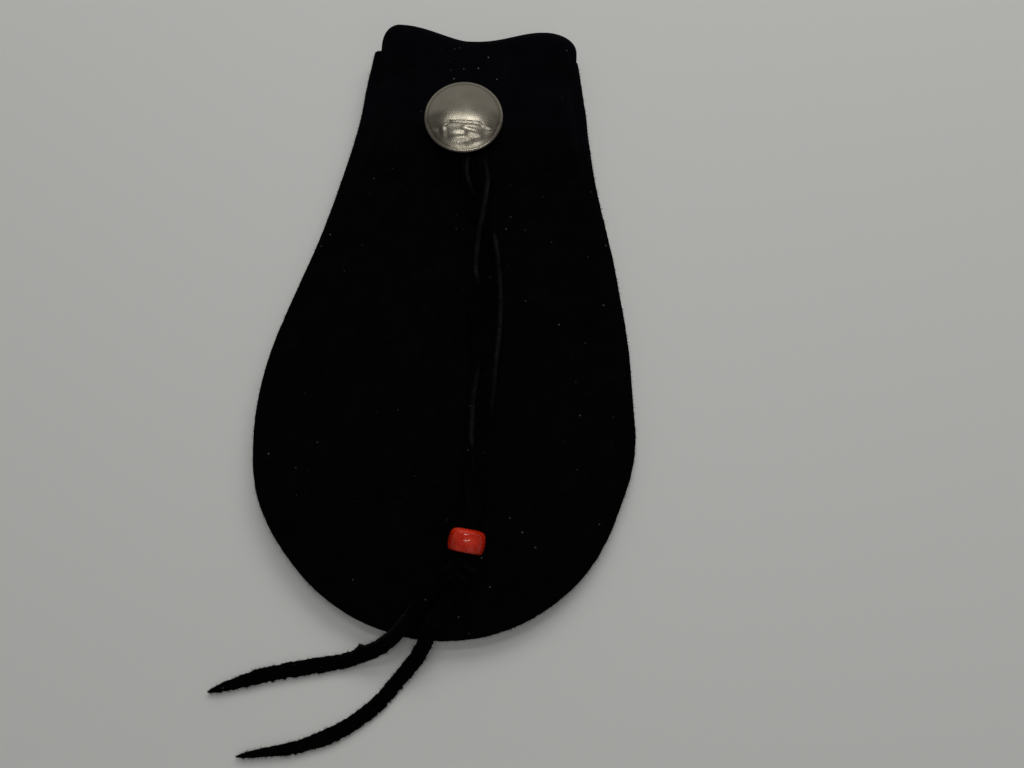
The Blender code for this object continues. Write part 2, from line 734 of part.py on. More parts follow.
def snap_cap(paint):
    """Cap behind the coin; its post runs through the lace's loop and the flap to a flare."""
    dome = [CAP_RADIUS * i / DOME_STEPS for i in range(DOME_STEPS + 1)]
    flare_top = PLATE_UNDER - FIT
    profile = [(r, coin_under(r) - FIT) for r in dome]
    profile += [(CAP_RADIUS, COIN_Z), (POST_RADIUS, COIN_Z), (POST_RADIUS, flare_top)]
    profile += [(FLARE_RADIUS, flare_top), (FLARE_RADIUS, flare_top - FLARE_THICKNESS)]
    profile += [(0, flare_top - FLARE_THICKNESS)]
    return on_snap_axis(lathe("snap_cap", profile, paint))


def snap_socket(paint):
    """Cup under the flap, whose lip closes round the waist of the stud's knob."""
    cup = KNOB_RADIUS + FIT
    wall = cup + SOCKET_WALL
    rim = FLANGE_TOP + FIT
    lip = KNOB_RADIUS - KNOB_WAIST + FIT
    profile = [(POST_RADIUS + FIT, PLATE_TOP), (SOCKET_RADIUS, PLATE_TOP), (SOCKET_RADIUS, PLATE_UNDER)]
    profile += [(wall, PLATE_UNDER), (wall, rim), (lip, rim), (lip, rim + SOCKET_LIP)]
    profile += [(cup, rim + 2 * SOCKET_LIP), (cup, PLATE_UNDER), (POST_RADIUS + FIT, PLATE_UNDER)]
    return on_snap_axis(lathe("snap_socket", profile, paint))


def snap_stud(paint):
    """Flange on the front, with a hollow knob that rises into the socket."""
    bore = EYELET_POST_RADIUS + FIT
    waist = KNOB_RADIUS - KNOB_WAIST
    lip_top = FLANGE_TOP + FIT + SOCKET_LIP
    profile = [(bore, FLANGE_UNDER), (STUD_RADIUS, FLANGE_UNDER), (STUD_RADIUS, FLANGE_TOP)]
    profile += [(waist, FLANGE_TOP), (waist, lip_top), (KNOB_RADIUS, KNOB_TOP - KNOB_ROUND)]
    profile += [(KNOB_RADIUS - KNOB_ROUND, KNOB_TOP), (bore, KNOB_TOP)]
    return on_snap_axis(lathe("snap_stud", profile, paint))


def snap_eyelet(paint):
    """Inside the pocket: a flange under the front, and a post up through it that holds the stud."""
    post_top = KNOB_TOP - FIT
    flange_under = EYELET_TOP - EYELET_FLANGE
    profile = [(0, post_top), (EYELET_POST_RADIUS, post_top), (EYELET_POST_RADIUS, EYELET_TOP)]
    profile += [(EYELET_RADIUS, EYELET_TOP), (EYELET_RADIUS, flange_under), (0, flange_under)]
    return on_snap_axis(lathe("snap_eyelet", profile, paint))


def on_snap_axis(obj):
    obj.location = (SNAP_X, SNAP_Y, 0)
    return obj


def main():
    for obj in list(bpy.data.objects):
        bpy.data.objects.remove(obj)
    hide = material("black_suede", (0.012, 0.012, 0.013), 0.95, 0.0)
    lace_hide = material("black_lace", (0.014, 0.013, 0.013), 0.9, 0.0)
    snap_metal = material("snap_metal", (0.45, 0.43, 0.4), 0.35, 1.0)
    back_and_flap(hide)
    front_panel(hide)
    seam_thread(material("black_thread", (0.015, 0.015, 0.016), 0.8, 0.0))
    coin(material("worn_nickel", (0.55, 0.52, 0.48), 0.3, 1.0))
    snap_cap(snap_metal)
    snap_socket(snap_metal)
    snap_stud(snap_metal)
    snap_eyelet(snap_metal)
    lace_loop(lace_hide)
    lace_knot(lace_hide)
    lace_tail("lace_tail_left", LACE_TAIL_LEFT, lace_hide)
    lace_tail("lace_tail_right", LACE_TAIL_RIGHT, lace_hide)
    bead(material("red_bead", (0.34, 0.02, 0.009), 0.15, 0.0))


main()
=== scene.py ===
"""The looks of a black suede pouch with a coin button, a doubled lace and a red bead, on a pale floor."""

import math
import random

import bmesh
import bpy
from mathutils import Matrix, Vector, noise


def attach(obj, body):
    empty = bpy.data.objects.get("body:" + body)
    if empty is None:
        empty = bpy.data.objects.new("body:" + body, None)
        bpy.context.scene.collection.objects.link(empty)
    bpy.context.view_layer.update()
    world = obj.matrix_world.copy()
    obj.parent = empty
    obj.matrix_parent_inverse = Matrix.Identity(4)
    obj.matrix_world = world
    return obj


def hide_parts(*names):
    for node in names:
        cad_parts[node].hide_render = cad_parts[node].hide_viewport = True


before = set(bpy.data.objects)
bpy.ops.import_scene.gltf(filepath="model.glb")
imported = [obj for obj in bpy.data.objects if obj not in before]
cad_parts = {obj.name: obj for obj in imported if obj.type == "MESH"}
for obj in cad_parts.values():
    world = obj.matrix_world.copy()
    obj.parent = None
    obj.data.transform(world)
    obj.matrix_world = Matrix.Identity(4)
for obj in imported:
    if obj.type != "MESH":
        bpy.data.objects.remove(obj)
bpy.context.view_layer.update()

MM = 0.001

# Camera, from the photograph's perspective
IMAGE_WIDTH = 1024
FOCAL_PIXELS = 769.0
SENSOR_MM = 36.0
CAMERA_PLACE = Vector((18.76, -63.98, 198.28)) * MM
CAMERA_TILT = math.radians(13.0)
BAG_TURN = math.radians(2.7)

# Hide and outline of the pouch, as in the solids, but for a bottom that is a little higher and squarer
LEATHER = 1.0 * MM
FIT = 0.3 * MM
TURN_GAP = 0.3 * MM
SEAM_ALLOWANCE = 4.0 * MM
DRAPE_GAP = 0.45 * MM
BAG_LENGTH = 168.7 * MM
BELLY_WIDTH = 97.8 * MM
BELLY_TO_BOTTOM = 52.15 * MM
BOTTOM_RISE = 0.8 * MM
BOTTOM_POWER = 2.02
NECK_WIDTH = 61.9 * MM
NECK_POWER = 0.9
NECK_LEAN = 2.6 * MM
LEAN_START = -25.0 * MM
LEAN_END = 27.0 * MM
LEAN_BACK = 0.2 * MM
LEAN_BACK_START = 50.0 * MM
LEAN_BACK_END = 70.0 * MM
BOTTOM_LEAN = 1.1 * MM
BELLY_SAG = 0.7 * MM
BELLY_SAG_Y = -52.0 * MM
BELLY_SAG_REACH = 17.0 * MM
MOUTH_BELOW_CREST = 9.95 * MM
MOUTH_DROP = 0.2 * MM
MOUTH_TILT = 2.4 * MM
MOUTH_RIGHT_LIFT = 4.0 * MM
MOUTH_RIGHT_LIFT_LENGTH = 12.0 * MM
MOUTH_ROUND_LEFT = 1.1 * MM
MOUTH_ROUND_LEFT_LENGTH = 14.0 * MM
MOUTH_ROUND_RIGHT = 2.3 * MM
MOUTH_ROUND_RIGHT_LENGTH = 13.0 * MM
MOUTH_ROUND_POWER = 1.4
DOME = 2.4 * MM
DOME_POWER = 3.0
FOLD_DIP = 4.0 * MM
FOLD_DIP_AT = -0.13
FOLD_PUFF = 1.2 * MM
FOLD_LEFT_PUFF_AT = -0.84
FOLD_LEFT_POWER = 1.5
FOLD_RIGHT_PUFF_AT = 0.69
FOLD_RIGHT_POWER = 2.7
FOLD_RIGHT_SHARE = 0.85
FOLD_CORNER_DROP = 2.6 * MM
FOLD_CORNER_DIP = 4.5 * MM
FLAP_LENGTH = 50.95 * MM
FLAP_SIDE_LENGTH = 43.95 * MM
FLAP_INSET = 3.75 * MM
FLAP_SHIFT = 0.4 * MM
FLAP_END_POWER = 2.2
FLAP_CORNER = 1.6 * MM
FLAP_CORNER_POWER = 10
FLAP_SETTLE = 14.0 * MM

# Snap, coin and bead, as in the solids
SNAP_X = 0.2 * MM
SNAP_BELOW_CREST = 31.55 * MM
SNAP_STACK = 4.1 * MM
STUD_RADIUS = 5.0 * MM
SOCKET_RADIUS = 5.4 * MM
SEAT_MARGIN = 4.2 * MM
SEAT_SLOPE = 7.0 * MM
POST_HOLE_RADIUS = 1.8 * MM
EYELET_HOLE_RADIUS = 1.5 * MM
COIN_RADIUS = 10.6 * MM
COIN_THICKNESS = 1.4 * MM
COIN_DOME = 1.8 * MM
COIN_RIM_WIDTH = 0.8 * MM
BEAD_RADIUS = 4.2 * MM
BEAD_LENGTH = 5.3 * MM
BEAD_BORE_RADIUS = 2.0 * MM
BEAD_X = 7.8 * MM
BEAD_Y = -59.7 * MM
BEAD_AXIS = Vector((0.14, 1.0, 0.03)).normalized()

# Lace
LACE_WIDTH = 3.2 * MM
LACE_THICKNESS = 1.3 * MM
LACE_SQUEEZE = 0.88

# The lace's route, as in the solids: x, y and z in millimetres, and the strap's roll in degrees. First the
# strand that leaves the post on its left, down to the knot, then the one on its right, then the two tails
STRAND_LEFT = (
    (0.6, 56.75, 9.7, 0), (-1.95, 56.05, 9.7, 0), (-3.4, 53.7, 9.7, 0), (-3.4, 51.0, 9.7, 0),
    (-2.5, 48.4, 9.7, 0), (0.9, 41.9, 9.7, 0), (1.3, 39.4, 10.45, -58), (1.85, 35.2, 10.7, -74),
    (2.8, 31.4, 10.0, -50), (4.9, 27.2, 8.4, -5), (7.8, 22.8, 8.3, -5), (10.5, 16.0, 9.2, -70),
    (12.5, 2.1, 9.25, -78), (12.6, -8.7, 9.25, -78), (12.2, -14.0, 9.25, -78), (11.3, -24.5, 9.0, -50),
    (10.8, -32.5, 8.5, -15), (10.5, -40.5, 8.4, 0), (10.1, -46.5, 9.2, 0), (9.1, -52.2, 10.2, 0),
    (8.3, -56.6, 10.8, 0), (7.25, -63.0, 10.7, 0),
)
STRAND_RIGHT = (
    (0.6, 56.75, 9.7, 0), (3.0, 55.6, 9.7, 0), (4.05, 53.2, 9.7, 0), (4.3, 50.0, 9.7, 0),
    (5.5, 41.9, 9.7, 0), (6.0, 39.2, 10.3, -50), (7.2, 34.8, 10.9, -64), (7.3, 29.9, 11.6, -74),
    (6.7, 24.0, 11.3, -75), (5.9, 18.6, 9.8, -78), (5.6, 10.1, 9.25, -78), (6.0, 3.0, 8.8, -25),
    (6.6, -6.1, 8.4, -5), (7.2, -14.0, 8.6, -20), (7.1, -19.5, 9.1, -60), (7.0, -24.7, 9.25, -78),
    (6.8, -34.0, 9.2, -65), (7.1, -40.0, 9.5, -25), (7.9, -46.0, 10.5, -5), (8.7, -51.8, 11.7, 0),
    (8.3, -56.6, 12.3, 0), (7.35, -63.0, 12.1, 0),
)
TAIL_LEFT = (
    (2.75, -68.2, 9.4, 0), (0.4, -70.7, 8.2, 0), (-2.4, -74.2, 7.0, 0), (-5.3, -78.4, 6.5, 0),
    (-8.1, -82.1, 6.2, 0), (-11.3, -84.9, 5.0, 0), (-15.1, -87.1, 2.7, 0), (-21.5, -89.6, 1.0, 0),
    (-29.1, -91.1, 0.8, 0), (-40.5, -93.8, 0.8, 0), (-47.0, -95.9, 0.8, 0), (-53.1, -98.1, 0.8, 0),
)
TAIL_RIGHT = (
    (6.1, -70.2, 9.3, 0), (3.8, -73.2, 7.8, 0), (1.4, -77.4, 6.8, 0), (-0.4, -81.7, 6.4, 0),
    (-1.7, -85.2, 5.5, 0), (-4.0, -88.8, 3.1, 0), (-7.7, -93.7, 1.1, 0), (-12.6, -99.4, 0.8, 0),
    (-20.5, -105.3, 0.8, 0), (-29.9, -109.2, 0.8, 0), (-38.3, -110.9, 0.8, 0), (-44.5, -112.1, 0.8, 0),
)


# Camera, lamps, floor

def make_camera():
    data = bpy.data.cameras.new("camera")
    data.sensor_width = SENSOR_MM
    data.sensor_fit = "HORIZONTAL"
    data.lens = FOCAL_PIXELS / IMAGE_WIDTH * SENSOR_MM
    data.clip_start = 0.01
    camera = bpy.data.objects.new("camera", data)
    tilt, turn = CAMERA_TILT, BAG_TURN
    right = Vector((math.cos(turn), math.sin(turn), 0))
    up = Vector((-math.cos(tilt) * math.sin(turn), math.cos(tilt) * math.cos(turn), math.sin(tilt)))
    back = right.cross(up)
    camera.matrix_world = Matrix.Translation(CAMERA_PLACE) @ Matrix((right, up, back)).transposed().to_4x4()
    bpy.context.scene.collection.objects.link(camera)
    bpy.context.scene.camera = camera


def area_lamp(name, place, target, size_x, size_y, radiance, mirrored):
    """A soft box, size_x wide along X. radiance is what a mirror shows of it, if it is mirrored at all."""
    data = bpy.data.lights.new(name, "AREA")
    data.shape = "RECTANGLE"
    data.size = size_x
    data.size_y = size_y
    data.energy = radiance * math.pi * size_x * size_y
    lamp = bpy.data.objects.new(name, data)
    lamp.visible_glossy = mirrored
    back = (place - target).normalized()
    right = Vector((1, 0, 0)) - back * back.x
    right.normalize()
    turn = Matrix((right, back.cross(right), back)).transposed().to_4x4()
    lamp.matrix_world = Matrix.Translation(place) @ turn
    bpy.context.scene.collection.objects.link(lamp)


def make_world(level, mirrored, seen):
    """An even room, with a level for its light, one for its mirror image and one for the camera's view."""
    world = bpy.data.worlds.new("world")
    world.use_nodes = True
    nodes, links = world.node_tree.nodes, world.node_tree.links
    nodes.clear()
    ray = nodes.new("ShaderNodeLightPath")

    def plain(value):
        background = nodes.new("ShaderNodeBackground")
        background.inputs["Color"].default_value = (value, value, value, 1)
        return background.outputs["Background"]

    def pick(share, a, b):
        mix = nodes.new("ShaderNodeMixShader")
        links.new(ray.outputs[share], mix.inputs["Fac"])
        links.new(a, mix.inputs[1])
        links.new(b, mix.inputs[2])
        return mix.outputs["Shader"]

    shown = pick("Is Camera Ray", pick("Is Glossy Ray", plain(level), plain(mirrored)), plain(seen))
    links.new(shown, nodes.new("ShaderNodeOutputWorld").inputs["Surface"])
    bpy.context.scene.world = world


# Shape of the pouch

CREST_Y = BAG_LENGTH / 2
BOTTOM_Y = BOTTOM_RISE - BAG_LENGTH / 2
BELLY_Y = BOTTOM_Y + BELLY_TO_BOTTOM
MOUTH_Y = CREST_Y - MOUTH_BELOW_CREST
TURN_RADIUS = (LEATHER + TURN_GAP) / 2
RIM_RADIUS = TURN_RADIUS + LEATHER / 2
BACK_Z = LEATHER / 2
BACK_ALLOWANCE_Z = BACK_Z + 2 * TURN_RADIUS
FRONT_ALLOWANCE_Z = BACK_ALLOWANCE_Z + LEATHER + FIT
FRONT_RIM_Z = FRONT_ALLOWANCE_Z + 2 * TURN_RADIUS
SNAP_Y = CREST_Y - SNAP_BELOW_CREST


def smooth(t):
    """0 to 1 with level ends."""
    t = min(max(t, 0.0), 1.0)
    return t * t * (3 - 2 * t)


def half_width(y):
    if y < BELLY_Y:
        t = min((BELLY_Y - y) / BELLY_TO_BOTTOM, 1.0)
        return BELLY_WIDTH / 2 * (1 - t**BOTTOM_POWER) ** (1 / BOTTOM_POWER)
    t = min((y - BELLY_Y) / (MOUTH_Y - BELLY_Y), 1.0) ** NECK_POWER
    return NECK_WIDTH / 2 + (BELLY_WIDTH - NECK_WIDTH) / 4 * (1 + math.cos(math.pi * t))


def centre_x(y):
    below = max(BELLY_Y - y, 0) / BELLY_TO_BOTTOM
    neck = NECK_LEAN * smooth((y - LEAN_START) / (LEAN_END - LEAN_START))
    top = LEAN_BACK * smooth((y - LEAN_BACK_START) / (LEAN_BACK_END - LEAN_BACK_START))
    sag = BELLY_SAG * (1 - smooth(abs(y - BELLY_SAG_Y) / BELLY_SAG_REACH))
    return neck - top - sag + BOTTOM_LEAN * below * below


def rim_rise(side, y):
    rise = (-MOUTH_DROP - side * MOUTH_TILT) * smooth((y - BELLY_Y) / (MOUTH_Y - BELLY_Y))
    lift = MOUTH_RIGHT_LIFT * smooth(1 + (y - MOUTH_Y) / MOUTH_RIGHT_LIFT_LENGTH)
    return rise + lift if side > 0 else rise


def corner_round(side, y):
    """How far the side is cut back towards the mouth's corner, more on the right."""
    left, right = (MOUTH_ROUND_LEFT, MOUTH_ROUND_LEFT_LENGTH), (MOUTH_ROUND_RIGHT, MOUTH_ROUND_RIGHT_LENGTH)
    deep, length = left if side < 0 else right
    return deep * max(0, 1 - (MOUTH_Y - y) / length) ** MOUTH_ROUND_POWER


def share_in(x, y):
    """0 at the turned edge, 1 on the centre line."""
    across = x - centre_x(y)
    if y >= BELLY_Y:
        return max(0.0, 1 - abs(across) / (half_width(y) - RIM_RADIUS))
    wide = across / (BELLY_WIDTH / 2 - RIM_RADIUS)
    return max(0.0, 1 - math.hypot(wide, (BELLY_Y - y) / (BELLY_TO_BOTTOM - RIM_RADIUS)))


def front_level(x, y):
    return FRONT_RIM_Z + DOME * (1 - (1 - share_in(x, y)) ** DOME_POWER)


FLAP_UNDER = front_level(SNAP_X, SNAP_Y) + DRAPE_GAP + LEATHER / 2
FLAP_TOP = FLAP_UNDER + LEATHER
SEAT_TOP = FLAP_UNDER - SNAP_STACK
COIN_Z = FLAP_TOP + LACE_THICKNESS + 2 * FIT


def snap_distance(x, y):
    return math.hypot(x - SNAP_X, y - SNAP_Y)


def seated_front_level(x, y):
    free = smooth((snap_distance(x, y) - STUD_RADIUS - SEAT_MARGIN) / SEAT_SLOPE)
    seat = SEAT_TOP - LEATHER / 2
    return seat + (front_level(x, y) - seat) * free


def seated_flap_level(x, y):
    free = smooth((snap_distance(x, y) - SOCKET_RADIUS - SEAT_MARGIN / 2) / SEAT_SLOPE)
    level = FLAP_UNDER + LEATHER / 2
    return level + (front_level(x, y) + LEATHER + DRAPE_GAP - level) * free


def neck_rib(side, y):
    half = half_width(y) - corner_round(side, y)
    rim = Vector((centre_x(y) + side * half, y + rim_rise(side, y), 0))
    return rim, Vector((centre_x(y), y, 0))


def bottom_rib(angle):
    y = BELLY_Y - BELLY_TO_BOTTOM * math.sin(angle) ** (2 / BOTTOM_POWER)
    reach = abs(math.cos(angle)) ** (2 / BOTTOM_POWER)
    rim = Vector((centre_x(y) - math.copysign(BELLY_WIDTH / 2 * reach, math.cos(angle)), y, 0))
    return rim, Vector((centre_x(BELLY_Y), BELLY_Y, 0))


# Hide: how the soft skin lies

NECK_RIBS = 110
BOTTOM_RIBS = 150
TURN_STEPS = 8
PANEL_COLUMNS = 34
FOLD_STEPS = 28
FLAP_ROWS = 72
RAGGED = 0.16 * MM
RAGGED_PITCH = 1.3 * MM
WAVY = 0.35 * MM
WAVY_PITCH = 17 * MM
SOFT_WAVE = 0.28 * MM
SOFT_PITCH = 21 * MM
PUCKER = 0.16 * MM
PUCKER_PITCH = 5.5 * MM
PUCKER_REACH = 7.0 * MM
MERGE_DISTANCE = 0.004 * MM
RIM_FIBRES = 1800
RIM_FIBRE_REACH = 0.9
PARED = 0.08
PARED_END = 9.0 * MM
PARED_SIDE = 2.5 * MM
PARED_BELOW_MOUTH = 8 * MM
PARED_GAP = -0.05 * MM
FLAP_LOWEST = 4.0 * MM
FACE_FROM = 0.25
UNDER_FLAP_FADE = 6 * MM
COIN_WAVE_FADE = 5 * MM
FLAP_WAVE_FROM = 0.15
FLAP_PRESS_FROM = 0.5
FLAP_ROW_POWER = 1.6
HOLE_SIDES = 48
SHARP_ANGLE = math.radians(60)


# Seeds that keep the smooth noises apart
WAVY_SEED, RAGGED_SEED, PUCKER_SEED, FRONT_SEED, FLAP_SEED, BEAD_SEED, KNOT_SEED = 1, 2, 3, 4, 5, 8, 12


def wobble(p, pitch, seed):
    """Smooth noise from -1 to 1 with that pitch."""
    place = (p.x / pitch + seed * 17.3, p.y / pitch - seed * 9.1, p.z / pitch + seed * 4.7)
    return noise.noise(Vector(place))


def rim_ribs():
    heights = [MOUTH_Y + (BELLY_Y - MOUTH_Y) * i / NECK_RIBS for i in range(NECK_RIBS)]
    left = [neck_rib(-1, y) for y in heights]
    bottom = [bottom_rib(math.pi * i / BOTTOM_RIBS) for i in range(BOTTOM_RIBS + 1)]
    right = [neck_rib(1, y) for y in reversed(heights)]
    ribs = []
    for rim, middle in left + bottom + right:
        inward = (middle - rim).normalized()
        wavy = WAVY * max(0.0, wobble(rim, WAVY_PITCH, WAVY_SEED))
        uneven = wavy + RAGGED * abs(wobble(rim, RAGGED_PITCH, RAGGED_SEED))
        ribs.append((rim + inward * uneven, middle))
    return ribs


def seam_pucker(rim, inward_distance):
    """Small ripples square to the seam, which die out towards the face."""
    fade = 1 - smooth(inward_distance / PUCKER_REACH)
    return PUCKER * fade * wobble(rim, PUCKER_PITCH, PUCKER_SEED)


def turned_edge(rim, middle, face_z, allowance_z):
    inward = (middle - rim).normalized()
    mid_z = (face_z + allowance_z) / 2
    turn = math.copysign(TURN_RADIUS, face_z - allowance_z)
    points = [rim + inward * (RIM_RADIUS + SEAM_ALLOWANCE) + Vector((0, 0, allowance_z))]
    for i in range(TURN_STEPS + 1):
        a = math.pi * i / TURN_STEPS
        out = TURN_RADIUS * math.sin(a)
        points.append(rim + inward * (RIM_RADIUS - out) + Vector((0, 0, mid_z - turn * math.cos(a))))
    return points


def seamed_rows(level, face_z, allowance_z):
    rows = []
    for rim, middle in rim_ribs():
        edge = turned_edge(rim, middle, face_z, allowance_z)
        edge[-1].z = level(edge[-1])
        start = edge[-1].copy()
        start.z = 0
        for j in range(1, PANEL_COLUMNS + 1):
            share = j / PANEL_COLUMNS
            p = start.lerp(middle, share)
            p.z = level(p)
            edge.append(p)
        rows.append(edge)
    return rows


def add_grid(mesh, rows):
    made = [[mesh.verts.new(p) for p in row] for row in rows]
    for a, b in zip(made, made[1:]):
        for j in range(len(a) - 1):
            mesh.faces.new((a[j], a[j + 1], b[j + 1], b[j]))


def new_object(name, data):
    obj = bpy.data.objects.new(name, data)
    bpy.context.scene.collection.objects.link(obj)
    return obj


def object_from(name, mesh):
    """An object with the bmesh's shape. The bmesh is freed."""
    data = bpy.data.meshes.new(name)
    mesh.to_mesh(data)
    mesh.free()
    return new_object(name, data)


def apply_modifiers(obj):
    """The object's shape with its modifiers becomes its mesh."""
    graph = bpy.context.evaluated_depsgraph_get()
    done = bpy.data.meshes.new_from_object(obj.evaluated_get(graph))
    obj.modifiers.clear()
    obj.data = done


def add_rim_fibres(mesh, mid_z, seed):
    """Fibres along the turned edge of a panel."""
    rng = random.Random(seed)
    ribs = rim_ribs()
    for _ in range(RIM_FIBRES):
        i = rng.randrange(len(ribs) - 1)
        rim = ribs[i][0].lerp(ribs[i + 1][0], rng.random())
        outward = (rim - ribs[i][1]).normalized()
        rise = rng.uniform(-RIM_FIBRE_REACH, RIM_FIBRE_REACH)
        inset = outward * RIM_RADIUS * (1 - math.sqrt(1 - rise * rise))
        root = rim - inset + Vector((0, 0, mid_z + rise * RIM_RADIUS))
        lean = Vector((rng.uniform(-1, 1), rng.uniform(-1, 1), rise + rng.uniform(-0.4, 0.4)))
        add_fibre(mesh, root, (outward + lean * FIBRE_LEAN).normalized(), rng)


def full_thickness(p):
    return 1.0


def hide_sheet(name, mesh, hole_radius, hole_z, edge_z, seed, thickness=full_thickness):
    """A mid-surface made into hide, with the snap's hole through it. thickness is a share of the full one."""
    bmesh.ops.remove_doubles(mesh, verts=mesh.verts, dist=MERGE_DISTANCE)
    bmesh.ops.recalc_face_normals(mesh, faces=mesh.faces)
    obj = object_from(name, mesh)
    solid = obj.modifiers.new("thickness", "SOLIDIFY")
    solid.thickness = LEATHER
    solid.offset = 0
    solid.use_even_offset = True
    group = obj.vertex_groups.new(name="thickness")
    for vert in obj.data.vertices:
        group.add([vert.index], thickness(vert.co), "REPLACE")
    solid.vertex_group = group.name
    solid.thickness_vertex_group = 0
    cutter_mesh = bmesh.new()
    place = Matrix.Translation((SNAP_X, SNAP_Y, hole_z))
    bmesh.ops.create_cone(
        cutter_mesh, cap_ends=True, segments=HOLE_SIDES, radius1=hole_radius, radius2=hole_radius,
        depth=4 * LEATHER, matrix=place,
    )
    cutter = object_from(name + "_cutter", cutter_mesh)
    hole = obj.modifiers.new("hole", "BOOLEAN")
    hole.operation = "DIFFERENCE"
    hole.object = cutter
    apply_modifiers(obj)
    bpy.data.objects.remove(cutter)
    hairy = bmesh.new()
    hairy.from_mesh(obj.data)
    add_rim_fibres(hairy, edge_z, seed)
    hairy.to_mesh(obj.data)
    hairy.free()
    obj.data.shade_smooth()
    obj.data.set_sharp_from_angle(angle=SHARP_ANGLE)
    return obj


def soft_front(p):
    """The front's mid-surface: full, with slow waves, and ripples at the seam."""
    x, y = p.x, p.y
    share = share_in(x, y)
    free = smooth((snap_distance(x, y) - STUD_RADIUS - SEAT_MARGIN) / SEAT_SLOPE)
    inner = smooth(share / FACE_FROM)
    under_flap = smooth((CREST_Y - FLAP_LENGTH - y) / UNDER_FLAP_FADE + 1)
    waves = SOFT_WAVE * wobble(Vector((x, y, 0)), SOFT_PITCH, FRONT_SEED) * inner * free * under_flap
    edge_distance = share * half_width(max(y, BELLY_Y))
    ripples = seam_pucker(Vector((x, y, 0)), edge_distance) * (1 - inner * 0.5) * free * under_flap
    return seated_front_level(x, y) + waves + ripples


def soft_back(p):
    return BACK_Z


def make_front():
    mesh = bmesh.new()
    add_grid(mesh, seamed_rows(soft_front, FRONT_RIM_Z, FRONT_ALLOWANCE_Z))
    edge_z = (FRONT_RIM_Z + FRONT_ALLOWANCE_Z) / 2
    return hide_sheet("front_suede", mesh, EYELET_HOLE_RADIUS, SEAT_TOP - LEATHER / 2, edge_z, seed=31)


def fold_shape(u):
    """Across the fold: 0 at the snap's pull to 1 at a puff, and 0 at a puff to 1 at the corner past it."""
    on_left = u < FOLD_DIP_AT
    puff_at = FOLD_LEFT_PUFF_AT if on_left else FOLD_RIGHT_PUFF_AT
    power = FOLD_LEFT_POWER if on_left else FOLD_RIGHT_POWER
    share = 1 if on_left else FOLD_RIGHT_SHARE
    puff = math.sin(math.pi / 2 * min((u - FOLD_DIP_AT) / (puff_at - FOLD_DIP_AT), 1)) ** power
    past = max(0, (abs(u) - abs(puff_at)) / (1 - abs(puff_at)))
    return share * puff, 1 - math.sqrt(1 - past * past)


def fold_height(u):
    puff, corner = fold_shape(u)
    start_y = CREST_Y - FOLD_DIP
    middle = front_level(centre_x(start_y), start_y) + LEATHER + DRAPE_GAP
    return middle + FOLD_PUFF * puff - FOLD_CORNER_DROP * corner


def fold_line(u):
    puff, corner = fold_shape(u)
    return CREST_Y - LEATHER / 2 - FOLD_DIP * (1 - puff) - FOLD_CORNER_DIP * corner


def flap_end(u):
    side = (FLAP_LENGTH - FLAP_SIDE_LENGTH) * abs(u) ** FLAP_END_POWER
    return CREST_Y - FLAP_LENGTH + side


def flap_thickness(p):
    """The flap is pared thin towards its end and its sides, so that its edge hardly shows."""
    if p.z < FLAP_LOWEST:
        return 1.0
    half = half_width(p.y) - FLAP_INSET
    u = min(1.0, abs(p.x - centre_x(p.y) - FLAP_SHIFT) / half)
    to_end = (p.y - flap_end(u)) / PARED_END
    to_side = (1 - u) * half / PARED_SIDE + smooth((p.y - MOUTH_Y) / PARED_BELOW_MOUTH + 1)
    return PARED + (1 - PARED) * smooth(min(to_end, to_side))


def mouth_half_row(side):
    """The back's row at the mouth, from one turned edge to the middle."""
    rim, middle = rim_ribs()[0 if side < 0 else -1]
    start = rim + (middle - rim).normalized() * RIM_RADIUS
    row = [Vector((start.x, start.y, BACK_Z))]
    for j in range(1, PANEL_COLUMNS + 1):
        p = Vector((start.x, start.y, 0)).lerp(middle, j / PANEL_COLUMNS)
        row.append(Vector((p.x, p.y, BACK_Z)))
    return row


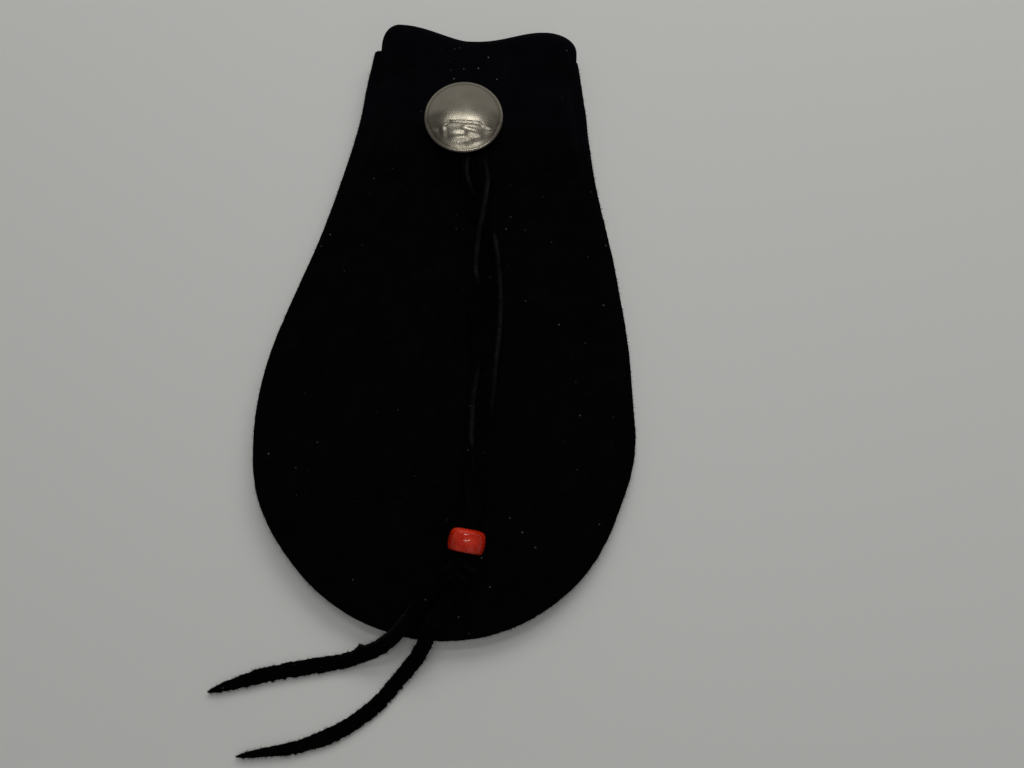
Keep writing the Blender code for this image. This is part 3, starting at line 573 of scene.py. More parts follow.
def fold_and_flap_rows():
    shares = [math.sin(math.pi / 2 * j / PANEL_COLUMNS) for j in range(-PANEL_COLUMNS, PANEL_COLUMNS + 1)]
    radius = {u: (fold_height(u) - BACK_Z) / 2 for u in shares}
    start = {u: fold_line(u) - radius[u] for u in shares}
    rows = [mouth_half_row(-1) + mouth_half_row(1)[-2::-1]]
    fold_half = half_width(CREST_Y) - FLAP_INSET
    for i in range(FOLD_STEPS + 1):
        a = math.pi * i / FOLD_STEPS
        row = []
        for u in shares:
            x = centre_x(CREST_Y) + FLAP_SHIFT + u * fold_half
            y = start[u] + radius[u] * math.sin(a)
            row.append(Vector((x, y, BACK_Z + radius[u] * (1 - math.cos(a)))))
        rows.append(row)
    for i in range(1, FLAP_ROWS + 1):
        v = 1 - (1 - i / FLAP_ROWS) ** FLAP_ROW_POWER
        row = []
        for u in shares:
            y = start[u] + (flap_end(u) - start[u]) * v
            corner = FLAP_CORNER * v**FLAP_CORNER_POWER
            half = half_width(y) - FLAP_INSET - corner
            x = centre_x(y) + FLAP_SHIFT + u * half
            settle = 1 - smooth((start[u] - y) / FLAP_SETTLE)
            rest = seated_flap_level(x, y)
            z = rest + (BACK_Z + 2 * radius[u] - rest) * settle
            p = Vector((x, y, 0))
            free = smooth((snap_distance(x, y) - COIN_RADIUS) / COIN_WAVE_FADE)
            wave = SOFT_WAVE * max(0.0, wobble(p, SOFT_PITCH, FLAP_SEED))
            z += free * smooth(v / FLAP_WAVE_FROM) * wave
            full = flap_thickness(Vector((x, y, FLAP_LOWEST)))
            pressed = (1 - full) / (1 - PARED)
            z -= pressed * (DRAPE_GAP - PARED_GAP) + (1 - full) * LEATHER / 2
            on_front = soft_front(p) + LEATHER / 2 + PARED_GAP + full * LEATHER / 2
            row.append(Vector((x, y, z + max(0.0, on_front - z) * smooth(v / FLAP_PRESS_FROM))))
        rows.append(row)
    return rows


def make_back_and_flap():
    mesh = bmesh.new()
    add_grid(mesh, seamed_rows(soft_back, BACK_Z, BACK_ALLOWANCE_Z))
    add_grid(mesh, fold_and_flap_rows())
    edge_z = (BACK_Z + BACK_ALLOWANCE_Z) / 2
    hole_z = FLAP_UNDER + LEATHER / 2
    return hide_sheet(
        "back_and_flap_suede", mesh, POST_HOLE_RADIUS, hole_z, edge_z, seed=32, thickness=flap_thickness,
    )


# Fibres that stand out of cut edges

FIBRE_SHORT = 0.25 * MM
FIBRE_LONG = 0.95 * MM
FIBRE_THICK = 0.038 * MM
FIBRE_ROOT = 0.12 * MM
FIBRE_POWER = 2.5
FIBRE_BEND = 0.45
FIBRE_LEAN = 0.6
FIBRE_SIDES = 3
LOWEST = 0.03 * MM


def add_fibre(mesh, root, direction, rng):
    """One bent fibre: a thin closed cone, rooted in the hide. Returns its vertices."""
    length = FIBRE_SHORT + (FIBRE_LONG - FIBRE_SHORT) * rng.random() ** FIBRE_POWER
    side = direction.orthogonal().normalized()
    other = direction.cross(side)
    bend = (side * rng.uniform(-1, 1) + other * rng.uniform(-1, 1)) * length * FIBRE_BEND
    stops = [root - direction * FIBRE_ROOT, root + direction * length * 0.5 + bend * 0.25]
    tip = root + direction * length * 0.95 + bend
    tip.z = max(tip.z, LOWEST)
    rings = []
    for stop, share in zip(stops, (1.0, 0.75)):
        ring = []
        for k in range(FIBRE_SIDES):
            a = 2 * math.pi * k / FIBRE_SIDES
            q = stop + (side * math.cos(a) + other * math.sin(a)) * FIBRE_THICK * share
            q.z = max(q.z, LOWEST)
            ring.append(mesh.verts.new(q))
        rings.append(ring)
    end = mesh.verts.new(tip)
    mesh.faces.new(reversed(rings[0]))
    for k in range(FIBRE_SIDES):
        n = (k + 1) % FIBRE_SIDES
        mesh.faces.new((rings[0][k], rings[0][n], rings[1][n], rings[1][k]))
        mesh.faces.new((rings[1][k], rings[1][n], end))
    return rings[0] + rings[1] + [end]


# Lace

RIBBON_STEP = 0.3 * MM
RIBBON_SIDES = 28
SQUARENESS = 3.4
FUZZ = 0.10 * MM
FUZZ_PITCH = 0.6 * MM
NICK = 0.07
TAIL_NICK = 0.22
NICK_PITCH = 0.65 * MM
SWELL = 0.05
SWELL_PITCH = 5.0 * MM
LACE_FIBRES = 3000
TAIL_WIDER = 0.12
ONTO_TAIL = 20 * MM
WIDER_BY = 15 * MM
SQUEEZE_FADE = 4 * MM
TIP_WIDTH = 0.05
TIP_THICKNESS = 0.35
TIP_THINS = 3 * MM
FUZZY_FROM = 0.5 * MM
FIBRE_ZONE = 0.6
FIBRE_OUTWARD = 1.6
# Share of the cut edge's painted highlight that the edge's fibres get
FIBRE_HIGHLIGHT = 0.8
# Where across the strap's section the cut edge's painted highlight begins, and how soon it is full
EDGE_HIGHLIGHT_FROM = -0.3
EDGE_HIGHLIGHT_FADE = 0.4
SNAG = Vector((-16.2, -87.5, 2.3)) * MM
SNAG_HEIGHT = 0.7 * MM
SNAG_REACH = 1.0 * MM

# A cut edge is painted lighter, a painted highlight where the strap stands on it and the edge faces up into
# the light: from this roll on, fully from that one, in degrees
HIGHLIGHT_ROLL_FROM = 35
HIGHLIGHT_ROLL_FULL = 72
# Painted highlight that a cut edge keeps where the strap lies flat
FLAT_HIGHLIGHT = 0.06

# The stretch of a tail, on its way off the hide, whose upper edge catches the light
LIT_TAIL_START = -75 * MM
LIT_TAIL_END = -91 * MM
LIT_FADE_IN = 3 * MM
LIT_FADE_OUT = 4 * MM


def smooth_route(stops, step):
    """Points a step apart on a smooth curve through the stops, and the strap's roll at each in radians."""
    places = [Vector(stop[:3]) * MM for stop in stops]
    ends = [places[0] * 2 - places[1]] + places + [places[-1] * 2 - places[-2]]
    points = [places[0]]
    rolls = [math.radians(stops[0][3])]
    for i in range(len(places) - 1):
        a, b, c, d = ends[i:i + 4]
        count = max(2, math.ceil((c - b).length / step))
        for j in range(1, count + 1):
            t = j / count
            start = 2 * b + (c - a) * t
            bend = (2 * a - 5 * b + 4 * c - d) * t**2 + (3 * b - a - 3 * c + d) * t**3
            points.append((start + bend) / 2)
            rolls.append(math.radians(stops[i][3] + (stops[i + 1][3] - stops[i][3]) * smooth(t)))
    return points, rolls


def along(points):
    """Distance from the first point to each."""
    total = [0.0]
    for a, b in zip(points, points[1:]):
        total.append(total[-1] + (b - a).length)
    return total


def strap_ring(mesh, layer, centre, side, up, half, half_thick, nicks, highlights, seed):
    """One ring of a strap: flat faces, and cut edges given a painted highlight in the layer, as strongly as
    marks say.
    """
    ring = []
    for k in range(RIBBON_SIDES):
        a = 2 * math.pi * k / RIBBON_SIDES
        c, s = math.cos(a), math.sin(a)
        reach = (abs(c) ** SQUARENESS + abs(s) ** SQUARENESS) ** (-1 / SQUARENESS)
        wide = half * nicks[0 if c > 0 else 1]
        q = centre + side * (c * reach * wide) + up * (s * reach * half_thick)
        q += (side * c + up * s) * FUZZ * wobble(q, FUZZ_PITCH, seed) * min(1, half / FUZZY_FROM)
        q.z = max(q.z, LOWEST)
        vert = mesh.verts.new(q)
        # The cut edge's painted highlight, written into the layer
        vert[layer] = highlights[0 if c > 0 else 1] * smooth((abs(c) - abs(s) - EDGE_HIGHLIGHT_FROM) / EDGE_HIGHLIGHT_FADE)
        ring.append(vert)
    return ring


def join_rings(mesh, a, b):
    for k in range(len(a)):
        n = (k + 1) % len(a)
        mesh.faces.new((a[k], a[n], b[n], b[k]))


def join_tube(mesh, rings):
    """Faces from ring to ring, and over both ends."""
    for a, b in zip(rings, rings[1:]):
        join_rings(mesh, a, b)
    mesh.faces.new(list(reversed(rings[0])))
    mesh.faces.new(rings[-1])


def finished_piece(name, mesh, material):
    bmesh.ops.recalc_face_normals(mesh, faces=mesh.faces)
    obj = object_from(name, mesh)
    obj.data.shade_smooth()
    obj.data.materials.append(material)
    return obj


def ribbon(name, material, points, halves, half_thick, rolls, seed, lit):
    """A flat strap swept along the points, with nicked edges, rough faces and loose fibres, and a painted
    highlight on its cut edges and fibres.

    lit is how strongly its upper edge catches the light on the way off the hide.
    """
    rng = random.Random(seed)
    mesh = bmesh.new()
    layer = mesh.verts.layers.float.new("cut")
    rings = []
    roots = []
    for i, p in enumerate(points):
        ahead = points[min(i + 1, len(points) - 1)] - points[max(i - 1, 0)]
        ahead.normalize()
        side = ahead.cross(Vector((0, 0, 1))).normalized()
        up = side.cross(ahead)
        turn = rolls[i]
        side, up = side * math.cos(turn) + up * math.sin(turn), up * math.cos(turn) - side * math.sin(turn)
        on_tail = smooth((BEAD_Y - p.y) / ONTO_TAIL)
        snag = SNAG_HEIGHT * math.exp(-(((p - SNAG).length / SNAG_REACH) ** 2)) / halves[i]
        nicks = []
        for edge, most in ((1, 0.5), (-1, 1.0)):
            nick = NICK + (TAIL_NICK - NICK) * on_tail * most
            uneven = nick * wobble(p, NICK_PITCH, seed + edge) + SWELL * wobble(p, SWELL_PITCH, seed - edge)
            nicks.append(1 + uneven + (snag if edge > 0 else 0))
        # Painted highlight on the cut edges and their fibres, stronger where the roll turns an edge up to the
        # light
        raised = smooth((abs(math.degrees(turn)) - HIGHLIGHT_ROLL_FROM) / (HIGHLIGHT_ROLL_FULL - HIGHLIGHT_ROLL_FROM))
        highlight = FLAT_HIGHLIGHT + (1 - FLAT_HIGHLIGHT) * raised
        lit_from = lit * smooth((LIT_TAIL_START - p.y) / LIT_FADE_IN)
        glint = lit_from * smooth((p.y - LIT_TAIL_END) / LIT_FADE_OUT)
        highlights = (max(highlight, glint), highlight)
        ring = strap_ring(mesh, layer, p, side, up, halves[i], half_thick[i], nicks, highlights, seed)
        rings.append(ring)
        for vert in ring:
            out = vert.co - p
            across = out.dot(side) / halves[i]
            if abs(across) > FIBRE_ZONE:
                direction = (side * across * FIBRE_OUTWARD + out.normalized()).normalized()
                roots.append((vert.co.copy(), direction, highlight))
    join_tube(mesh, rings)
    for _ in range(LACE_FIBRES):
        root, direction, highlight = rng.choice(roots)
        lean = Vector((rng.uniform(-1, 1), rng.uniform(-1, 1), rng.uniform(-0.6, 0.6)))
        for vert in add_fibre(mesh, root, (direction + lean * FIBRE_LEAN).normalized(), rng):
            vert[layer] = highlight * FIBRE_HIGHLIGHT
    return finished_piece(name, mesh, material)


def strand(name, material, stops, tip_length, seed, lit):
    points, rolls = smooth_route(stops, RIBBON_STEP)
    far = along(points)
    total = far[-1]
    halves, thick = [], []
    for p, d in zip(points, far):
        near_bead = 1 - smooth((abs(p.y - BEAD_Y) - BEAD_LENGTH / 2) / SQUEEZE_FADE)
        squeeze = 1 - (1 - LACE_SQUEEZE) * near_bead
        wider = 1 + TAIL_WIDER * smooth((BEAD_Y - p.y) / WIDER_BY)
        to_tip = math.sqrt(min(1, (total - d) / tip_length))
        thinned = TIP_THICKNESS + (1 - TIP_THICKNESS) * min(1, (total - d) / TIP_THINS)
        halves.append(LACE_WIDTH / 2 * squeeze * wider * max(TIP_WIDTH, to_tip))
        thick.append(LACE_THICKNESS / 2 * squeeze * thinned)
    return ribbon(name, material, points, halves, thick, rolls, seed, lit), points


# Sewing thread

THREAD_RADIUS = 0.15 * MM
THREAD_DEPTH = 0.65 * MM
THREAD_STEP = 0.35 * MM
THREAD_TWIST = 1.5 * MM
PLY_SIDES = 6


def seam_points():
    """Points a step apart along the seam, between the two turned edges."""
    z = (BACK_ALLOWANCE_Z + FRONT_ALLOWANCE_Z) / 2
    stops = []
    for rim, middle in rim_ribs():
        stops.append(rim + (middle - rim).normalized() * THREAD_DEPTH + Vector((0, 0, z)))
    points = []
    for a, b in zip(stops, stops[1:]):
        count = max(1, round((b - a).length / THREAD_STEP))
        points += [a.lerp(b, i / count) for i in range(count)]
    return points + stops[-1:]


def make_thread(material):
    """Two plies twisted round each other."""
    points = seam_points()
    far = along(points)
    mesh = bmesh.new()
    for ply in (0, 1):
        rings = []
        for i, p in enumerate(points):
            ahead = points[min(i + 1, len(points) - 1)] - points[max(i - 1, 0)]
            side = ahead.cross(Vector((0, 0, 1))).normalized()
            up = side.cross(ahead).normalized()
            turn = 2 * math.pi * far[i] / THREAD_TWIST + math.pi * ply
            centre = p + (side * math.cos(turn) + up * math.sin(turn)) * THREAD_RADIUS / 2
            ring = []
            for k in range(PLY_SIDES):
                a = 2 * math.pi * k / PLY_SIDES
                out = side * math.cos(a) + up * math.sin(a)
                ring.append(mesh.verts.new(centre + out * THREAD_RADIUS / 2))
            rings.append(ring)
        join_tube(mesh, rings)
    return finished_piece("thread_sewn", mesh, material)


# Materials

LINT_SCALE = 300
LINT_POWER = 4.0
LINT_COLOUR = (0.10, 0.10, 0.104, 1)
# Where the painted sheen on the upper pouch begins, and where it is full
SHEEN_TOP_FROM = 30 * MM
SHEEN_TOP_FULL = 62 * MM
NAP_DEPTH = 0.3 * MM
COIN_STAIN = 0.35


def principled(name):
    m = bpy.data.materials.new(name)
    m.use_nodes = True
    return m, m.node_tree, m.node_tree.nodes["Principled BSDF"]


def plug(tree, socket, value):
    """The value, a number, a colour or another node's socket, goes into the socket."""
    if isinstance(value, bpy.types.NodeSocket):
        tree.links.new(value, socket)
    else:
        socket.default_value = value


def new_node(tree, kind, inputs):
    n = tree.nodes.new("ShaderNode" + kind)
    for name, value in inputs.items():
        plug(tree, n.inputs[name], value)
    return n


def noise_node(tree, vector, scale, detail, rough):
    inputs = {"Vector": vector, "Scale": scale, "Detail": detail, "Roughness": rough}
    return new_node(tree, "TexNoise", inputs).outputs["Fac"]


def ramp(tree, value, stops):
    r = new_node(tree, "ValToRGB", {"Fac": value})
    steps = r.color_ramp.elements
    for step, (at, colour) in ((steps[0], stops[0]), (steps[1], stops[-1])):
        step.position = at
        step.color = (*colour, 1)
    for at, colour in stops[1:-1]:
        steps.new(at).color = (*colour, 1)
    return r.outputs["Color"]


def mixed(tree, kind, a, b, share):
    mix = tree.nodes.new("ShaderNodeMix")
    mix.data_type = kind
    for name, value in (("Factor", share), ("A", a), ("B", b)):
        plug(tree, mix.inputs[name], value)
    return mix.outputs["Result"]


def maths(tree, operation, *terms):
    n = tree.nodes.new("ShaderNodeMath")
    n.operation = operation
    for socket, term in zip(n.inputs, terms):
        plug(tree, socket, term)
    return n.outputs[0]


def place_on(tree):
    return tree.nodes.new("ShaderNodeTexCoord").outputs["Object"]


def suede(name, tones, nap_scale, bump):
    """Napped suede: mottled where the nap lies differently, with a fine fibrous bump and pale specks of lint.

    tones are dark, middle and light: for the "low" part; for the "high" part, a painted sheen that makes the
    upper pouch lighter and bluer as light falls on it from above; and for a marked edge, whose tones are a
    painted highlight.
    """
    m, tree, shader = principled(name)
    place = place_on(tree)
    broad = noise_node(tree, place, scale=150, detail=3, rough=0.6)
    mottle = noise_node(tree, place, scale=620, detail=4, rough=0.65)
    fine = noise_node(tree, place, scale=nap_scale, detail=4, rough=0.7)
    texture = mixed(tree, "FLOAT", mottle, fine, 0.6)
    shade = mixed(tree, "FLOAT", texture, broad, 0.4)

    def tone(which):
        dark, mid, light = tones[which]
        return ramp(tree, shade, [(0.36, dark), (0.50, mid), (0.64, light)])

    # Painted sheen: the upper part of the pouch is painted lighter and bluer, as light from above falls on it
    up = new_node(tree, "SeparateXYZ", {"Vector": place}).outputs["Y"]
    high = new_node(tree, "MapRange", {"Value": up, "From Min": SHEEN_TOP_FROM, "From Max": SHEEN_TOP_FULL})
    high.interpolation_type = "SMOOTHSTEP"
    colour = mixed(tree, "RGBA", tone("low"), tone("high"), high.outputs["Result"])
    # A marked edge of the lace is painted lighter: a painted highlight from the strap's edge layer
    if "cut" in tones:
        highlight = tree.nodes.new("ShaderNodeAttribute")
        highlight.attribute_name = "cut"
        colour = mixed(tree, "RGBA", colour, tone("cut"), highlight.outputs["Fac"])
    lint = new_node(tree, "TexVoronoi", {"Vector": place, "Scale": LINT_SCALE})
    speck = ramp(tree, lint.outputs["Distance"], [(0.045, (1, 1, 1)), (0.085, (0, 0, 0))])
    luck = maths(tree, "POWER", lint.outputs["Color"], LINT_POWER)
    keep = maths(tree, "MULTIPLY", speck, luck)
    tree.links.new(mixed(tree, "RGBA", colour, LINT_COLOUR, keep), shader.inputs["Base Color"])
    shader.inputs["Roughness"].default_value = 0.95
    shader.inputs["Specular IOR Level"].default_value = 0.012
    shader.inputs["Sheen Weight"].default_value = 0.0025
    shader.inputs["Sheen Roughness"].default_value = 0.5
    nap = new_node(tree, "Bump", {"Strength": bump, "Distance": NAP_DEPTH, "Height": texture})
    tree.links.new(nap.outputs["Normal"], shader.inputs["Normal"])
    return m


def floor_material():
    m, _, shader = principled("pale_floor")
    shader.inputs["Base Color"].default_value = (0.43, 0.435, 0.415, 1)
    shader.inputs["Roughness"].default_value = 0.6
    return m


def bead_material():
    m, tree, shader = principled("red_glaze")
    place = place_on(tree)
    cloud = noise_node(tree, place, scale=300, detail=3, rough=0.55)
    stops = [(0.36, (0.25, 0.008, 0.0015)), (0.52, (0.34, 0.012, 0.003)), (0.66, (0.40, 0.026, 0.010))]
    tree.links.new(ramp(tree, cloud, stops), shader.inputs["Base Color"])
    shader.inputs["Roughness"].default_value = 0.12
    shader.inputs["Specular IOR Level"].default_value = 0.25
    shader.inputs["Subsurface Weight"].default_value = 0.6
    shader.inputs["Subsurface Radius"].default_value = (1.0, 0.25, 0.15)
    shader.inputs["Subsurface Scale"].default_value = 1.6 * MM
    return m


def coin_material():
    m, tree, shader = principled("worn_nickel")
    place = place_on(tree)
    relief = tree.nodes.new("ShaderNodeAttribute")
    relief.attribute_name = "relief"
    stain = noise_node(tree, place, scale=240, detail=4, rough=0.6)
    tone = maths(tree, "MULTIPLY_ADD", stain, COIN_STAIN, relief.outputs["Fac"])
    stops = [(0.15, (0.050, 0.044, 0.034)), (0.5, (0.120, 0.109, 0.086)), (0.95, (0.185, 0.169, 0.136))]
    tree.links.new(ramp(tree, tone, stops), shader.inputs["Base Color"])
    shader.inputs["Metallic"].default_value = 1.0
    rough = ramp(tree, stain, [(0.3, (0.19, 0.19, 0.19)), (0.7, (0.30, 0.30, 0.30))])
    tree.links.new(rough, shader.inputs["Roughness"])
    return m


def metal_material(name, colour, roughness):
    m, tree, shader = principled(name)
    place = place_on(tree)
    stain = noise_node(tree, place, scale=700, detail=4, rough=0.6)
    darker = tuple(c * 0.7 for c in colour)
    tree.links.new(ramp(tree, stain, [(0.3, darker), (0.7, colour)]), shader.inputs["Base Color"])
    shader.inputs["Metallic"].default_value = 1.0
    shader.inputs["Roughness"].default_value = roughness
    return m


def thread_material():
    m, tree, shader = principled("sewing_thread")
    place = place_on(tree)
    twist = new_node(tree, "TexWave", {"Vector": place, "Scale": 900, "Distortion": 2.0})
    stops = [(0.2, (0.006, 0.006, 0.007)), (0.8, (0.016, 0.016, 0.018))]
    tree.links.new(ramp(tree, twist.outputs["Fac"], stops), shader.inputs["Base Color"])
    shader.inputs["Roughness"].default_value = 0.8
    return m


# Bead

BEAD_STEPS = 72
BEAD_BORE_STEPS = 8
BEAD_ROUND_STEPS = 8
BEAD_BODY_STEPS = 12
BEAD_BORE_INSET = 0.97
BEAD_LIP = 0.25 * MM
BEAD_LUMP = 0.02 * MM
BEAD_LUMP_PITCH = 4.0 * MM
BEAD_LUMP_FADE = 1 * MM
BEAD_BULGE = 0.25 * MM
BEAD_SHOULDER = math.radians(15)
BEAD_UPPER_CUT = 0.35 * MM
BEAD_UPPER_ROUND = 1.0 * MM
BEAD_LOWER_ROUND = 0.6 * MM
BEAD_UPPER_DOME = 0.75 * MM
BEAD_LOWER_DOME = 0.2 * MM


def bead_centre():
    upper = front_level(BEAD_X, BEAD_Y + BEAD_LENGTH / 2) + LEATHER / 2
    return Vector((BEAD_X, BEAD_Y, upper + FIT + BEAD_RADIUS))


def make_bead(material):
    """A glazed barrel, a little uneven, as it was wound by hand."""
    half = BEAD_LENGTH / 2
    top = half - BEAD_UPPER_CUT
    profile = []
    for i in range(BEAD_BORE_STEPS + 1):
        profile.append((BEAD_BORE_RADIUS, (top - (half + top) * i / BEAD_BORE_STEPS) * BEAD_BORE_INSET))
    profile.append((BEAD_BORE_RADIUS + BEAD_LIP, -half))
    low, high = BEAD_LOWER_ROUND, BEAD_UPPER_ROUND
    steps = range(BEAD_ROUND_STEPS + 1)
    turns = [BEAD_SHOULDER + (math.pi / 2 - BEAD_SHOULDER) * i / BEAD_ROUND_STEPS for i in steps]
    for a in reversed(turns):
        inside = low * (math.cos(BEAD_SHOULDER) - math.cos(a))
        profile.append((BEAD_RADIUS - inside, low - half - low * math.sin(a)))
    start = profile[-1][1]
    end = top - high + high * math.sin(BEAD_SHOULDER)
    for i in range(1, BEAD_BODY_STEPS):
        t = i / BEAD_BODY_STEPS
        profile.append((BEAD_RADIUS + BEAD_BULGE * 4 * t * (1 - t), start + (end - start) * t))
    for a in turns:
        inside = high * (math.cos(BEAD_SHOULDER) - math.cos(a))
        profile.append((BEAD_RADIUS - inside, top - high + high * math.sin(a)))
    profile.append((BEAD_BORE_RADIUS + BEAD_LIP, top))
    mesh = bmesh.new()
    rings = []
    for r, z in profile:
        dome = BEAD_UPPER_DOME if z > 0 else -BEAD_LOWER_DOME
        z += dome * smooth(abs(z) / half) * (1 - (r / BEAD_RADIUS) ** 2)
        ring = []
        for i in range(BEAD_STEPS):
            a = 2 * math.pi * i / BEAD_STEPS
            p = Vector((r * math.cos(a), r * math.sin(a), z))
            fade = smooth((r - BEAD_BORE_RADIUS) / BEAD_LUMP_FADE)
            lump = BEAD_LUMP * wobble(p, BEAD_LUMP_PITCH, BEAD_SEED) * fade
            p += Vector((math.cos(a), math.sin(a), 0)) * lump
            ring.append(mesh.verts.new(p))
        rings.append(ring)
    for a, b in zip(rings, rings[1:] + rings[:1]):
        join_rings(mesh, a, b)
    turn = Vector((0, 0, 1)).rotation_difference(BEAD_AXIS).to_matrix().to_4x4()
    mesh.transform(Matrix.Translation(bead_centre()) @ turn)
    return finished_piece("bead_glazed", mesh, material)


# Coin. Its face and its place a little further down the pouch are the scene's own, not the solid's

COIN_STEPS = 160
COIN_RINGS = 60
COIN_UNDER_RINGS = 12
COIN_RIM_SHARES = (0.12, 0.25, 0.5, 0.75, 0.9, 1.0)
COIN_Y = SNAP_Y - 0.35 * MM
COIN_RIM_RISE = 0.015 * MM
COIN_RIM_FALL = 0.4 * MM
COIN_RIM_FALL_FROM = 0.6
COIN_RELIEF = 0.28 * MM
COIN_RELIEF_FADE = 2.6 * MM
COIN_GROOVE = 0.03 * MM

# Tones of the coin's groove, of its relief and its rim on top of that, and of its underside
GROOVE_TONE = 0.2
RELIEF_TONE = 0.38
RIM_TONE = 0.42
TONE_FADE = 0.8 * MM
UNDER_TONE = 0.3

# The coin's scene, in shares of the inner radius and of the relief. GROUND_FROM is where the ground below the
# cliff begins to rise again and the track sets in
PLAIN = 0.84
DUNE = 0.10
DUNE_AT = 0.42
CLIFF_AT = -0.20
CLIFF_SIDE_FALL = 0.12
CLIFF_WIDTH = 0.11
CLIFF_DROP = 0.56
GROUND_FROM = -0.3
TRACK = 0.16
TRACK_HALF = 0.05

# Its mounds: place across and up, half length, half height, turn in radians, and height
COIN_MOUNDS = (
    (-0.10, -0.66, 0.27, 0.13, 0.12, 0.95),
    (0.30, -0.52, 0.22, 0.11, -0.25, 0.90),
    (0.44, -0.80, 0.16, 0.08, 0.45, 0.85),
    (-0.58, -0.26, 0.15, 0.10, -0.15, 0.90),
    (0.64, -0.30, 0.16, 0.08, -0.15, 0.95),
    (-0.52, -0.56, 0.08, 0.20, 0.15, 0.85),
)


def coin_under(r):
    return COIN_Z + COIN_DOME * (1 - (r / COIN_RADIUS) ** 2)


def coin_relief(u, v):
    """Height of the worn scene, 0 to 1: a plain that ends in a cliff, with mounds and a track below it."""
    place = Vector((u, v, 0))
    at_side = smooth((abs(u - 0.04) - 0.40) / 0.25)
    cliff = CLIFF_AT - CLIFF_SIDE_FALL * at_side + 0.03 * noise.noise(place * 4)
    below = smooth((cliff - v) / CLIFF_WIDTH)
    dune = DUNE * math.exp(-(((v - DUNE_AT - 0.18 * math.sin(3.0 * u + 0.6)) / 0.10) ** 2))
    land = PLAIN + 0.06 * noise.noise(place * 2.2) - dune * (1 - below)
    land -= CLIFF_DROP * below * (1 - 0.35 * smooth((GROUND_FROM - v) / 0.5))
    land += 0.12 * below * noise.noise(Vector((u * 3.2 + v * 1.6, v * 2.8, 3)))
    track = u - 0.12 * math.sin(5.2 * v + 0.9) - 0.10
    land -= TRACK * math.exp(-((track / TRACK_HALF) ** 2)) * smooth((GROUND_FROM - v) / 0.2)
    for x, y, length, height, turn, top in COIN_MOUNDS:
        along_it = (u - x) * math.cos(turn) + (v - y) * math.sin(turn)
        across_it = (v - y) * math.cos(turn) - (u - x) * math.sin(turn)
        far = math.hypot(along_it / length, across_it / height) + 0.06 * noise.noise(place * 5)
        land += max(0.0, top - land) * smooth((1.5 - far) / 1.4)
    return min(1.0, max(0.0, land))


def make_coin(material):
    inner = COIN_RADIUS - COIN_RIM_WIDTH
    mesh = bmesh.new()
    layer = mesh.verts.layers.float.new("relief")

    def ring(r, level):
        made = []
        for i in range(COIN_STEPS):
            a = 2 * math.pi * i / COIN_STEPS
            z, value = level(r, a)
            v = mesh.verts.new((SNAP_X + r * math.cos(a), COIN_Y + r * math.sin(a), z))
            v[layer] = value
            made.append(v)
        return made

    def top(r, a):
        face = coin_under(r) + COIN_THICKNESS
        if r > inner:
            t = (r - inner) / COIN_RIM_WIDTH
            rise = (COIN_GROOVE + COIN_RIM_RISE) * smooth(t / 0.5) - COIN_GROOVE
            fall = COIN_RIM_FALL * max(0, t - COIN_RIM_FALL_FROM) ** 2
            return face + rise - fall, GROOVE_TONE + RIM_TONE * smooth(t / 0.5)
        value = coin_relief(r / inner * math.cos(a), r / inner * math.sin(a))
        fade = smooth((inner - r) / COIN_RELIEF_FADE)
        tone = GROOVE_TONE + RELIEF_TONE * value * smooth((inner - r) / TONE_FADE)
        return face - COIN_RELIEF * (1 - value) * fade - COIN_GROOVE * (1 - fade), tone

    def under(r, a):
        return coin_under(r), UNDER_TONE

    radii = [inner * i / COIN_RINGS for i in range(1, COIN_RINGS + 1)]
    radii += [inner + COIN_RIM_WIDTH * t for t in COIN_RIM_SHARES]
    rings = [ring(r, top) for r in radii]
    rings += [ring(COIN_RADIUS * i / COIN_UNDER_RINGS, under) for i in range(COIN_UNDER_RINGS, 0, -1)]
    for a, b in zip(rings, rings[1:]):
        for i in range(COIN_STEPS):
            k = (i + 1) % COIN_STEPS
            mesh.faces.new((a[i], b[i], b[k], a[k]))
    z, value = top(0, 0)
    centre = mesh.verts.new((SNAP_X, COIN_Y, z))
    centre[layer] = value
    below = mesh.verts.new((SNAP_X, COIN_Y, coin_under(0)))
    for i in range(COIN_STEPS):
        k = (i + 1) % COIN_STEPS
        mesh.faces.new((centre, rings[0][i], rings[0][k]))
        mesh.faces.new((below, rings[-1][k], rings[-1][i]))
    return finished_piece("coin_struck", mesh, material)


# Knot

KNOT_STEPS = 96
KNOT_BELOW_BEAD = 1.0 * MM
KNOT_HALF = 3.1 * MM
KNOT_SHIFT = Vector((-0.5, 0, -1.0)) * MM
KNOT_CORE = (2.9, 2.7, 2.4)
KNOT_CORE_LUMP = 0.12
KNOT_CORE_PITCH = 0.8 * MM
KNOT_BAND_HALF = 1.35 * MM
KNOT_BAND_LEAN = 0.25
# Painted highlight on the cut edges of the knot's turns
KNOT_HIGHLIGHTS = (0.3, 0.3)


def knot_wrap(mesh, layer, centre, axis, start, radii, seed):
    """One turn of the strap round the knot, a closed band. axis is the turn's axis, start lies across it."""
    across = axis.cross(start)
    rings = []
    for i in range(KNOT_STEPS):
        a = 2 * math.pi * i / KNOT_STEPS
        out = (start * math.cos(a) * radii[1] + across * math.sin(a) * radii[0]).normalized()
        p = centre + start * math.cos(a) * radii[0] + across * math.sin(a) * radii[1]
        lean = KNOT_BAND_LEAN * math.sin(a + seed)
        side = (axis + out * lean).normalized()
        up = (out - axis * lean).normalized()
        nicks = [1 + NICK * wobble(p, NICK_PITCH, seed + edge) for edge in (1, -1)]
        half_thick = LACE_THICKNESS / 2
        ring = strap_ring(mesh, layer, p, side, up, KNOT_BAND_HALF, half_thick, nicks, KNOT_HIGHLIGHTS, seed)
        rings.append(ring)
    for a, b in zip(rings, rings[1:] + rings[:1]):
        join_rings(mesh, a, b)


